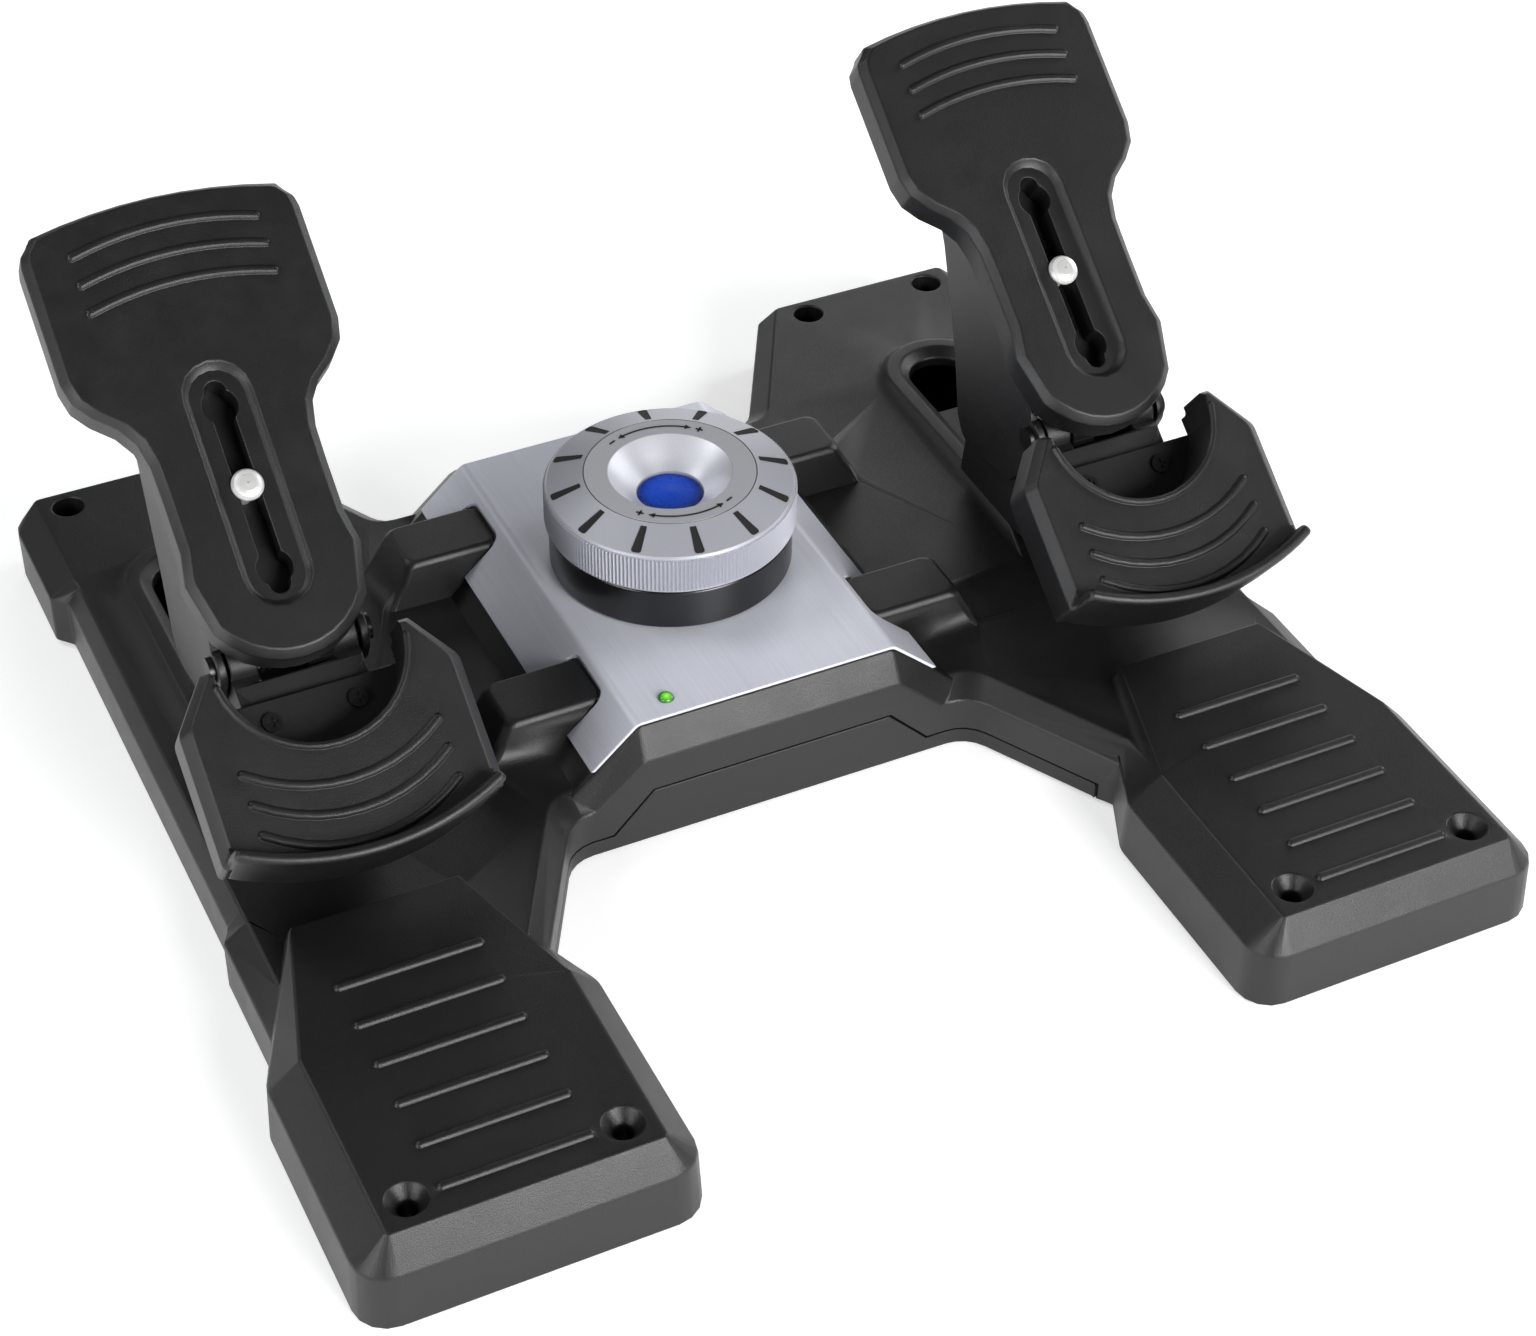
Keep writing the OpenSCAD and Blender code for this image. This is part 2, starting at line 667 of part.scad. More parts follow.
module top_shell() color(charcoal) {
    difference() {
        union() {
            shell_walls();
            mirrored() {
                heel_rib_row();
                for (x = mount_places) column(x, mount_y, foot_h, heel_z - 0.5 * wall, mount_boss_d);
                for (p = well_places) column(p.x, p.y, tray_z + seat, roof_z + 0.5 * wall, well_d);
                for (p = under_places) column(p.x, p.y, tray_z + seat, p.z + 0.5 * wall, boss_d);
            }
            difference() {
                block(about(0, tower_half + tower_wall), about(knob_y, tower_half + tower_wall),
                    [tower_z, roof_centre + 0.5 * wall]);
                block(about(0, tower_half), about(knob_y, tower_half),
                    [tower_z - over, roof_centre]);
            }
            for (s = [-1, 1]) column(lamp_x + s * board_post_x, lamp_y, board_z + board_t + seat,
                roof_centre + 0.5 * wall, boss_d * 0.6);
        }
        mirrored() {
            for (x = mount_places) {
                column(x, mount_y, -over, heel_z + over, mount_hole_d);
                translate([x, mount_y, heel_z - countersink_h]) cylinder(d1 = mount_hole_d,
                    d2 = countersink_d, h = countersink_h);
                column(x, mount_y, heel_z - fit, heel_z + heel_rib_r, countersink_d);
            }
            for (p = well_places) {
                column(p.x, p.y, well_floor, wing_z + over, well_bore);
                column(p.x, p.y, 0, wing_z, screw_d + 2 * fit);
            }
            for (p = under_places) column(p.x, p.y, 0, roof_z - wall, screw_d + 2 * fit);
        }
        column(0, knob_y, roof_centre - over, cover_z, spindle_d + 2 * fit);
        column(lamp_x, lamp_y, roof_centre - over, cover_z, lamp_d + 2 * seat);
        translate([gland_x, housing_rear, gland_z]) rotate([90, 0, 0])
            translate([0, 0, -over]) cylinder(d = gland_d + 2 * seat, h = 2 * wall + 2 * over);
    }
}

module bottom_tray() color(black) {
    difference() {
        union() {
            translate([0, 0, foot_h]) linear_extrude(tray_t) {
                polygon(rounded(shrink(wing_foot, wall + gap)));
                for (s = [0, 1]) mirror([s, 0]) polygon(rounded(shrink(heel_foot, wall + gap)));
            }
            intersection() {
                translate([0, 0, foot_h]) linear_extrude(tray_peak_h) difference() {
                    polygon(rounded(wing_foot));
                    polygon(rounded(shrink(wing_foot, wall + gap + over)));
                }
                tray_zone(gap);
            }
            column(0, front_arm_y, foot_h, arm_z - seat, hub_d * 0.8);
            column(0, front_arm_y, foot_h, post_top, post_d);
            column(0, rear_arm_y, foot_h, arm_z - seat, hub_d * 0.8);
            for (s = [-1, 1]) column(0, rear_arm_y + s * bracket_reach, foot_h, bracket_z - seat, boss_d);
        }
        column(0, rear_arm_y, tray_z - stub_sink, arm_z, spindle_d + 2 * fit);
        mirrored() {
            for (x = mount_places) column(x, mount_y, 0, tray_z + over, mount_boss_d + 2 * gap);
            for (p = foot_places) column(p.x, p.y, 0, foot_h + foot_pocket, foot_d + 2 * seat);
            for (p = well_places) column(p.x, p.y, 0, tray_z + over, screw_d + 2 * fit);
            for (p = under_places) {
                column(p.x, p.y, 0, tray_z + over, screw_d + 2 * fit);
                column(p.x, p.y, 0, foot_h + tray_t / 2, screw_head_d + 2 * gap);
            }
        }
    }
}

bend_r = 5;
sheet_r = 0.2;
module silver_cover() color(silver) {
    t = cover_t;
    half = housing_top_w / 2;
    low = height(cover_edge_h);
    foot = half - (cover_z - low) * cover_slope;
    inner_half = half - cover_side - t * cover_slope;
    difference() {
        along_y(cover_front, cover_rear) polygon(rounded([
            [-foot, low, sheet_r], [cover_side - foot, low, sheet_r],
            [-inner_half, cover_z - t, bend_r - t],
            [inner_half, cover_z - t, bend_r - t], [foot - cover_side, low, sheet_r], [foot, low, sheet_r],
            [half, cover_z, bend_r], [-half, cover_z, bend_r]]));
        mirrored() for (y = [front_arm_y, rear_arm_y]) shroud_opening(y);
        column(0, knob_y, cover_z - 2 * t, cover_z + over, collar_hole_d);
        column(lamp_x, lamp_y, cover_z - 2 * t, cover_z + over, lamp_d + 2 * seat);
    }
}

// Indicator lamp, circuit board and gland
lamp_in = 14.7;
lamp_x = lamp_in - housing_top_w / 2;
lamp_back = 8.65;
lamp_y = cover_front + lamp_back;
lamp_proud = 0.4;
lamp_dome_share = 0.4;
board_w = 38;
board_d = 17;
board_t = 1.6;
board_z = 38;
board_post_x = 14;
chip_half = 3;
chip_pitch = 10;
chip_t = 2;
plug_half = 4;
gland_x = -30;
gland_z = 17;
gland_d = 8;
gland_flange_d = 13;
gland_flange_t = 2.5;
bracket_reach = 25;
bracket_z = 25;
bracket_t = 2;
sensor_d = 18;
sensor_h = 7;
collar_hole_d = 26;

module lamp_lens() color(green) {
    column(lamp_x, lamp_y, board_z + board_t + seat, cover_z + lamp_proud, lamp_d);
    translate([lamp_x, lamp_y, cover_z + lamp_proud]) scale([1, 1, lamp_dome_share]) intersection() {
        sphere(d = lamp_d);
        column(0, 0, 0, lamp_d, lamp_d);
    }
}

module circuit_board() color(board_green) {
    block(about(lamp_x, board_w / 2), about(lamp_y, board_d / 2),
        [board_z, board_z + board_t]);
    for (k = [-1:1]) block(about(lamp_x + k * chip_pitch, chip_half), about(lamp_y, chip_half),
        [board_z - chip_t, board_z + board_t / 2]);
}

module cable_gland() color(rubber) {
    translate([gland_x, housing_rear, gland_z]) rotate([-90, 0, 0]) difference() {
        union() {
            translate([0, 0, -2 * wall]) cylinder(d = gland_d, h = 2 * wall + gland_flange_t);
            translate([0, 0, seat]) cylinder(d = gland_flange_d, h = gland_flange_t);
            translate([0, 0, seat + gland_flange_t]) cylinder(d1 = gland_d, d2 = gland_d * 0.8,
                h = 2 * gland_flange_t);
        }
        translate([0, 0, -3 * wall]) cylinder(d = gland_d / 2, h = 3 * wall + 4 * gland_flange_t);
    }
}

module sensor_bracket() color(steel) {
    difference() {
        union() {
            block(about(0, bracket_t * 4), about(rear_arm_y, bracket_reach + boss_d / 2),
                [bracket_z, bracket_z + bracket_t]);
            column(0, rear_arm_y, bracket_z, bracket_z + bracket_t, sensor_d);
        }
        column(0, rear_arm_y, bracket_z - over, bracket_z + bracket_t + over, spindle_d);
        for (s = [-1, 1]) column(0, rear_arm_y + s * bracket_reach, bracket_z - over,
            bracket_z + bracket_t + over, screw_d + 2 * fit);
    }
}

// Angle sensor whose ring is turned by the rear arm's upper stub
module rudder_sensor() color(black) {
    difference() {
        column(0, rear_arm_y, bracket_z + bracket_t + seat, bracket_z + bracket_t + sensor_h, sensor_d);
        column(0, rear_arm_y, bracket_z, bracket_z + bracket_t + sensor_h - sensor_lid,
            stub_d + 2 * fit);
    }
    block(about(0, plug_half), beside(rear_arm_y + sensor_d / 2, -over, plug_half),
        beside(bracket_z + bracket_t, seat, plug_half));
}
stub_d = 6;
stub_sink = 1.5;
stub_room = 2;
sensor_lid = 1.5;

module centring_spring() color(steel) translate([0, front_arm_y, 0]) {
    low = arm_z + hub_h + centring_wire + gap;
    coil(post_d / 2 + centring_room, centring_wire, centring_turns, clip_z - gap - centring_wire - low, low);
}
centring_wire = 1;
centring_room = 2.2;
centring_turns = 4;
clip_drop = 2.5;
clip_t = 1.5;
clip_brim = 8;
clip_z = post_top - clip_drop;

module pivot_clip() color(steel) {
    difference() {
        column(0, front_arm_y, clip_z, clip_z + clip_t, post_d + clip_brim);
        column(0, front_arm_y, clip_z - over, post_top, post_d + 2 * fit);
    }
}

module screw_up(x, y) {
    column(x, y, foot_h + screw_sink, foot_h + tray_t / 2 - seat, screw_head_d);
    column(x, y, foot_h + screw_sink, roof_z - 2 * wall, screw_d);
}
module shell_screws() color(steel) mirrored() {
    for (p = under_places) screw_up(p.x, p.y);
    for (p = well_places) {
        column(p.x, p.y, foot_h + screw_sink, well_floor + screw_head_h, screw_d);
        difference() {
            column(p.x, p.y, well_floor + seat, well_floor + seat + screw_head_h, screw_head_d);
            for (a = [0, 90]) translate([p.x, p.y, well_floor + 2 * seat + screw_head_h])
                rotate([0, 0, a])
                cube([screw_head_d * 0.6, cross_w, 2 * seat + screw_head_h], center = true);
        }
    }
}

module rubber_feet() color(rubber) mirrored() {
    for (p = foot_places) column(p.x, p.y, 0, foot_h + foot_pocket - seat, foot_d);
}

// Knob and tension drive
knob_gap = 0.6;
knob_z = cover_z + collar_h + knob_gap;
knob_top = knob_z + knob_h;
dish_r = 22.6;
dish_depth = 5;
ring_r = 31.7;
mark_in = 34;
mark_out = 44;
mark_half_in = 1;
mark_half_out = 1.7;
mark_corner = 0.6;
mark_depth = 1.2;
collar_edge = 1;
tooth = 0.5;
tooth_band_low = 1.2;
tooth_band_high = 1.8;
rim_in = 1.6;
rim_low = 1;
rim_drop = 1.6;
rim_top = 0.8;

module knob_collar() color(black) {
    r = collar_d / 2;
    translate([0, knob_y, cover_z]) rotate_extrude() polygon([
        [collar_hole_d / 2 - seat, -cover_t + seat], [collar_hole_d / 2 - seat, seat],
        [r - collar_edge, seat], [r, seat + collar_edge], [r, collar_h - collar_edge],
        [r - collar_edge, collar_h],
        [spindle_d / 2 + fit, collar_h], [spindle_d / 2 + fit, -cover_t + seat]]);
}

module tension_knob() color(silver) {
    r = knob_d / 2;
    translate([0, knob_y, 0]) difference() {
        union() {
            translate([0, 0, knob_z + tooth_band_low])
                linear_extrude(knob_h - tooth_band_low - tooth_band_high) polygon(
                [for (i = [0:2 * knob_teeth - 1]) (r - (i % 2) * tooth)
                    * [cos(180 * i / knob_teeth), sin(180 * i / knob_teeth)]]);
            translate([0, 0, knob_z]) rotate_extrude() polygon([[0, 0], [r - rim_in, 0],
                [r - 1.5 * tooth, rim_low], [r - 1.5 * tooth, knob_h - rim_drop],
                [r - rim_in, knob_h - rim_top],
                [ring_r, knob_h], [0, knob_h]]);
        }
        translate([0, 0, knob_top - dish_depth]) rotate_extrude() polygon([[0, 0],
            [knob_cap_d / 2, 0], [dish_r, dish_depth + fit], [dish_r, dish_depth + over],
            [0, dish_depth + over]]);
        column(0, 0, knob_top - dish_depth - cap_t, knob_top, knob_cap_d + 2 * seat);
        column(0, 0, knob_z - over, knob_top - dish_depth, spindle_d + 2 * fit);
        for (i = [0:knob_marks - 1]) rotate([0, 0, 360 * (i + 0.5) / knob_marks])
            translate([0, 0, knob_top - mark_depth]) linear_extrude(2 * mark_depth) polygon([
                [mark_in, -mark_half_in], [mark_out - mark_corner, -mark_half_out],
                [mark_out, mark_corner - mark_half_out], [mark_out, mark_half_out - mark_corner],
                [mark_out - mark_corner, mark_half_out], [mark_in, mark_half_in]]);
    }
}
cap_t = 3;
cap_edge = 0.8;
cap_round = 0.6;
cap_crown = 0.5;

module knob_cap() color(blue) {
    translate([0, knob_y, knob_top - dish_depth - cap_t + seat]) rotate_extrude() polygon([
        [0, 0], [knob_cap_d / 2, 0], [knob_cap_d / 2, cap_t - cap_round],
        [knob_cap_d / 2 - cap_edge, cap_t], [0, cap_t + cap_crown]]);
}

module knob_spindle() color(steel) {
    column(0, knob_y, pad_z + pad_t + spindle_gap, knob_top - dish_depth - cap_t, spindle_d);
    column(0, knob_y, roof_centre - gap - washer_t, roof_centre - gap, spindle_d + washer_brim);
}
spindle_gap = 6;
washer_t = 2;
washer_brim = 6;
pad_recess = 1;

module tension_nut() color(steel) translate([0, knob_y, nut_z]) {
    difference() {
        linear_extrude(nut_t) square(2 * nut_half, center = true);
        translate([0, 0, -over]) cylinder(d = spindle_d + 2 * fit, h = nut_t + 2 * over);
    }
}

module drag_pad() color(rubber) difference() {
    column(0, knob_y, pad_z, pad_z + pad_t, pad_d);
    column(0, knob_y, pad_z + pad_t - pad_recess, pad_z + pad_t + over, spindle_d);
}

tension_turns = 4;
tension_spring_z = pad_z + pad_t + spring_wire + seat;
tension_spring_len = nut_z - spring_wire - seat - tension_spring_z;
module tension_spring() color(steel) translate([0, knob_y, 0])
    coil(spring_r, spring_wire, tension_turns, tension_spring_len, tension_spring_z);

hole_shares = [0.32, 0.5, 0.68];
module arm_plate(y) {
    difference() {
        union() {
            block(about(0, arm_reach), about(y, arm_w / 2), [arm_z, arm_z + arm_t]);
            for (s = [-1, 1]) column(s * arm_reach, y, arm_z, arm_z + arm_t, arm_w);
            column(0, y, arm_z, arm_z + hub_h, hub_d);
        }
        for (s = [-1, 1]) {
            column(s * arm_reach, y, arm_z - over, arm_z + arm_t + over, link_pin_d + 2 * fit);
            for (k = hole_shares) column(s * arm_reach * k, y, arm_z - over,
                arm_z + arm_t + over, arm_w * 0.5);
        }
    }
}

module front_link_arm() color(steel) difference() {
    union() {
        arm_plate(front_arm_y);
        translate([0, front_arm_y, arm_z]) linear_extrude(arm_t) polygon(concat([[0, 0]],
            [for (i = [0:8]) sector_r * [sin(sector_angle * (i / 4 - 1)),
                cos(sector_angle * (i / 4 - 1))]]));
    }
    column(0, front_arm_y, arm_z - over, arm_z + hub_h + over, post_d + 2 * fit);
}

module rear_link_arm() color(steel) {
    arm_plate(rear_arm_y);
    column(0, rear_arm_y, tray_z - stub_sink + seat, arm_z + over, spindle_d);
    column(0, rear_arm_y, arm_z + hub_h - over, bracket_z + bracket_t + sensor_h - stub_room, stub_d);
}

module link_pins(y) color(zinc) {
    for (s = [-1, 1]) {
        column(s * arm_reach, y, arm_z, carriage_z + carriage_t - seat, link_pin_d);
        column(s * arm_reach, y, arm_z - pin_head_t, arm_z - seat, link_pin_d + pin_brim);
        column(s * arm_reach, y, arm_z - pin_step, arm_z + over, link_pin_d - pin_step);
    }
}
pin_head_t = 1.5;
pin_brim = 4;
pin_step = 1;
module front_link_pins() link_pins(front_arm_y);
module rear_link_pins() link_pins(rear_arm_y);

// Pedal pieces, drawn for the right side

module carriage(side) color(black) on_side(side) {
    mid = (front_arm_y + rear_arm_y) / 2;
    difference() {
        union() {
            block(about(arm_reach, carriage_half),
                [front_arm_y - carriage_end, rear_arm_y + carriage_end],
                [carriage_z, carriage_z + carriage_t]);
            block(about(neck_x, neck_w / 2), about(mid, neck_len / 2),
                [carriage_z + carriage_t - over, pedestal_z - seat]);
        }
        column(arm_reach, front_arm_y, carriage_z - over, carriage_z + carriage_t + over,
            link_pin_d + 2 * fit);
        column(arm_reach, rear_arm_y, carriage_z - over, carriage_z + carriage_t + over,
            link_pin_d + 2 * gap);
    }
}

// Foot of the pedestal above the slot's rim
pedestal_gap = 0.8;
lever_room = 1;
pedestal_z = wing_z + rim_h + pedestal_gap;
pedestal_half = lever_w / 2 - lever_wall - lever_room;
shield_in = 20;
shield_out = 16;
shield_ahead = 26;
shield_behind = 19;

module slot_shield(side) color(charcoal) on_side(side) difference() {
    mid = (front_arm_y + rear_arm_y) / 2;
    block(beside(slot_x, -shield_in, shield_out), [front_arm_y - shield_ahead, rear_arm_y + shield_behind],
        beside(shield_z, 0, shield_t));
    block(about(neck_x, neck_w / 2 + gap), about(mid, neck_len / 2 + gap),
        beside(shield_z, -over, shield_t + over));
}

// Body between the slot and the heel cup, with the hinge lugs of the brake lever
function cup_point(v, d) = [cup_y + v * cos(cup_slope) - d * sin(cup_slope),
    cup_z + v * sin(cup_slope) + d * cos(cup_slope)];
module pedestal(side) color(black) on_side(side) {
    mid = (front_arm_y + rear_arm_y) / 2;
    floor_d = cup_floor - cup_floor_t - seat;
    difference() {
        union() {
            along_x(pedal_x - pedestal_half, pedal_x + pedestal_half) polygon([
                [mid - neck_len / 2 - pedestal_toe, pedestal_z],
                [mid + neck_len / 2 - pedestal_heel, pedestal_z],
                [mid + neck_len / 2 - pedestal_waist, hinge_z - pedestal_knee],
                [hinge_y + lug_back, hinge_z - lug_drop],
                [hinge_y, hinge_z], cup_point(-cradle_top, floor_d), cup_point(-cradle_low, floor_d),
                cup_point(-cradle_end, floor_d - cradle_deep)]);
            hinge_frame() bar_x(-pedestal_half, pedestal_half, hinge_r);
            block(about(neck_x, neck_w / 2), beside(mid, -neck_len / 2, neck_len / 2 - neck_step),
                beside(pedestal_z, 0, wall));
        }
        hinge_frame() {
            bar_x(-lever_w, lever_w, hinge_d / 2 + fit);
            bar_x(-pocket_half, pocket_half, pocket_r);
            block([-pocket_half, pocket_half], [0, pocket_r], [0, 2 * pocket_r]);
        }
        cup_frame() for (u = [-cup_screw_u, cup_screw_u])
            translate([u, cup_screw_v, cup_floor - cup_screw_len]) cylinder(d = screw_d + 2 * fit,
                h = cup_screw_len);
    }
}
pedestal_toe = 2;
pedestal_heel = 4;
pedestal_waist = 8;
pedestal_knee = 26;
lug_back = 8;
lug_drop = 4;
cradle_top = 1;
cradle_low = 44;
cradle_end = 46;
cradle_deep = 10;
neck_step = 5;
lever_run = 8;
pocket_half = 13;
pocket_r = 9.5;
cup_screw_u = 15;
cup_screw_v = -16;
cup_screw_len = 14;
cup_screw_head = 1.6;

// Heel cup in its own frame: X across, Y up its slope, Z out of its face
peak_flat = 1;
peak_u = notch_r + 2 * peak_flat;
peak_r = 1.2;
shoulder_v = -15;
cup_corner_r = 2;
cup_shoulder_r = 6;
function cup_outline(grow) = [
    [-cup_w / 2 - grow, -cup_len, cup_corner_r], [cup_w / 2 + grow, -cup_len, cup_corner_r],
    [cup_w / 2 + grow, shoulder_v, cup_shoulder_r], [peak_u + grow / 2, grow / 2, peak_r],
    [-peak_u - grow / 2, grow / 2, peak_r], [-cup_w / 2 - grow, shoulder_v, cup_shoulder_r]];
lip_out = 1;
lip_half = cup_w / 2 + lip_out;
stiffener_pitch = 22;
stiffener_half = 1.2;
lip_sag = 11;
lip_radius = (lip_half * lip_half + lip_sag * lip_sag) / (2 * lip_sag);
lip_t = 4.4;
lip_v = -cup_len - lip_sag + lip_radius;
cup_rib_r = 1.8;
cup_rib_radius = 56;
cup_rib_half = 33.5;
cup_rib_pitch = 10.4;
cup_rib_first = -45.5;
cup_ribs = 3;

// Bowed lower end of a heel cup, with the given half width and bow radius
module cup_bow(d0, d1, half, radius) {
    translate([0, 0, d0]) linear_extrude(d1 - d0) intersection() {
        translate([0, lip_v]) circle(r = radius);
        translate([-half, -2 * cup_len]) square([2 * half, 1.1 * cup_len]);
    }
}
lip_angle = asin(lip_half / lip_radius);
notch_bead_r = 1.4;
bead_over = 0.5;
notch_bead_angle = 82;

module heel_cup(side) color(black) on_side(side) cup_frame() {
    difference() {
        union() {
            loft([[rounded(cup_outline(cup_bevel)), -cup_depth],
                [rounded(cup_outline(cup_bevel)), -cup_bevel],
                [rounded(cup_outline(0)), 0]]);
            cup_bow(-cup_depth, 0, lip_half - fit, lip_radius);
        }
        translate([0, 0, cup_floor]) cylinder(r = notch_r, h = 2 * cup_depth, $fn = 96);
        difference() {
            union() {
                loft([[rounded(shrink(cup_outline(cup_bevel), cup_wall)), -cup_depth - over],
                    [rounded(shrink(cup_outline(cup_bevel), cup_wall)), -cup_bevel - cup_plate_t],
                    [rounded(shrink(cup_outline(0), cup_wall)), -cup_plate_t]]);
                cup_bow(-cup_depth - over, -cup_plate_t, lip_half - cup_wall, lip_radius - cup_wall);
            }
            translate([0, 0, -2 * cup_depth])
                cylinder(r = notch_r + cup_wall, h = 2 * cup_depth, $fn = 96);
            for (k = [-1:1]) block(about(k * stiffener_pitch, stiffener_half), [-2 * cup_len, 0],
                [-cup_depth, 0]);
        }
    }
    cup_lip();
    for (i = [0:cup_ribs - 1]) translate([0, cup_rib_first - i * cup_rib_pitch + cup_rib_radius, 0])
        ridge(cup_rib_radius, round_top(cup_rib_r, 0.8 * cup_rib_r, 0.5 * cup_rib_r),
            asin(cup_rib_half / cup_rib_radius), -90, cup_rib_r, rib_steps);
    ridge(notch_r + notch_bead_r - bead_over, round_top(notch_bead_r, notch_bead_r, 0.5 * notch_bead_r),
        notch_bead_angle, -90, notch_bead_r, rim_steps);
    cup_cradle();
}

// Raised lip along the bowed lower end, standing proud of it by lip_proud
lip_proud = 0.4;
module cup_lip() translate([0, lip_v, 0])
    ridge(lip_radius - lip_t / 2 + lip_proud, round_top(lip_t / 2, lip_h, cup_bevel), lip_angle, -90,
        lip_t / 2, rim_steps);

// Curved wall behind the notch and the floor that the pedestal carries
module cup_cradle() {
    low = cup_floor - cup_floor_t;
    difference() {
        intersection() {
            translate([0, 0, low]) cylinder(r = notch_r + cup_wall, h = -low - cup_plate_t / 2, $fn = 96);
            block([-cup_w, cup_w], [-cup_w, -cradle_top], [low, 0]);
        }
        translate([0, 0, cup_floor]) cylinder(r = notch_r, h = cup_depth + over, $fn = 96);
        block([-notch_r, notch_r], [-lever_run, 0], [low - over, cup_floor + over]);
        for (u = [-cup_screw_u, cup_screw_u]) translate([u, cup_screw_v, cup_floor - 2 * cup_floor_t])
            cylinder(d = screw_d + 2 * fit, h = 3 * cup_floor_t);
    }
}

module cup_screws(side) color(steel) on_side(side) cup_frame() {
    for (u = [-cup_screw_u, cup_screw_u]) translate([u, cup_screw_v, 0]) {
        column(0, 0, cup_floor - cup_screw_len + over, cup_floor + over, screw_d);
        difference() {
            column(0, 0, cup_floor + seat, cup_floor + seat + cup_screw_head, screw_head_d);
            for (a = [0, 90]) translate([0, 0, cup_floor + seat + cup_screw_head]) rotate([0, 0, a])
                cube([screw_head_d * 0.6, cross_w, cup_screw_head], center = true);
        }
    }
}

module hinge_pin(side) color(zinc) on_side(side) hinge_frame() {
    bar_x(-lever_w / 2 - hinge_head_t / 2, lever_w / 2 + hinge_head_t / 2, hinge_d / 2);
    for (s = [0, 1]) mirror([s, 0, 0]) bar_x(lever_w / 2 + 2 * seat, lever_w / 2 + 2 * seat + hinge_head_t,
        hinge_d / 2 + hinge_brim);
}
hinge_head_t = 1.8;
hinge_brim = 1.5;
sensor_w = 9;
pocket_room = 1.2;

module brake_sensor(side) color(charcoal) on_side(side) hinge_frame() difference() {
    bar_x(-pocket_half + gap, -pocket_half + sensor_w, pocket_r - pocket_room);
    bar_x(-lever_w, lever_w, hinge_d / 2 + fit);
}

module return_spring(side) color(steel) on_side(side) hinge_frame() {
    rotate([0, 90, 0]) coil(hinge_d / 2 + return_room, return_wire, return_turns, return_spring_len,
        -return_start);
}
return_wire = 0.8;
return_room = 1.6;
return_start = 1.8;
return_turns = 5;
return_spring_len = 13;

// Brake lever in the toe plate's frame: web behind the plate and two side flanges
bolt_v = 57.9;
web_end = 118;
web_start = 14;
web_lip_t = 3;
web_lip_h = 8;
nut_seat_t = 3;
lug_room = 0.5;
// Rear edge of a flange, from the top of the web down to its low corner and up to the hinge
lever_edge = [[102, -26], [87.6, -33.2], [74.6, -42.2], [66.2, -48.4], [52.6, -58.2], [42, -67.6],
    [33.6, -75.2], [27, -77.6], [21, -76.6], [-1.6, -53.8], [-3.4, -30]];
lever_profile = concat([[web_start, web_top], [web_end, web_top], [web_end, web_top - web_lip_h]],
    lever_edge, [for (i = [0:fine_steps]) let (a = 170 - 120 * i / fine_steps)
        [hinge_v + (hinge_r + lug_room) * cos(a), -hinge_drop + (hinge_r + lug_room) * sin(a)]]);

module brake_lever(side) color(charcoal) on_side(side) {
    half = lever_w / 2;
    toe_frame() difference() {
        union() {
            block([-half, half], [web_start, web_end], [web_top - web_t, web_top]);
            for (s = [-1, 1]) along_x(s > 0 ? half - lever_wall : -half,
                s > 0 ? half : -half + lever_wall) polygon(lever_profile);
            block([-half, half], [web_end - web_lip_t, web_end], [web_top - web_lip_h, web_top]);
            translate([0, bolt_v, web_top - web_t - nut_seat_t])
                cylinder(d = 3 * bolt_d, h = nut_seat_t + web_t / 2);
        }
        translate([0, bolt_v, web_top - 3 * web_t]) cylinder(d = bolt_d + 2 * fit, h = 4 * web_t);
        translate([0, hinge_v, -hinge_drop]) bar_x(-lever_w, lever_w, hinge_d / 2 + fit);
    }
}

// Half profile of a bolt's round head, as shares of its diameter
head_shares = [[0, 0], [0.5, 0], [0.5, 0.09], [0.43, 0.2], [0.26, 0.27], [0, 0.29]];
clamp_nut_t = 4.9;
clamp_nut_brim = 3;
bolt_tail = 1;
module clamp_bolt(side) color(zinc) on_side(side) toe_frame() translate([0, bolt_v, 0]) {
    column(0, 0, clamp_nut_z - bolt_tail, -recess_d + gap, bolt_d);
    translate([0, 0, -recess_d + gap]) rotate_extrude()
        polygon([for (p = head_shares) bolt_head_d * p]);
}
clamp_nut_z = web_top - web_t - nut_seat_t - seat - clamp_nut_t;

module clamp_nut(side) color(steel) on_side(side) toe_frame() translate([0, bolt_v, 0]) difference() {
    column(0, 0, clamp_nut_z, clamp_nut_z + clamp_nut_t, bolt_head_d + clamp_nut_brim, $fn = 6);
    column(0, 0, clamp_nut_z - over, clamp_nut_z + clamp_nut_t + over, bolt_d + 2 * fit);
}

// Toe plate in its own frame: X across, Y up its slope, Z out of its face
recess_d = 3;
recess_half = 11.9;
recess_draft = 2.4;
recess_wall = 3;
recess_low = 14.6;
recess_high = 102;
slot_narrow = 3.6;
lobe_r = 6;
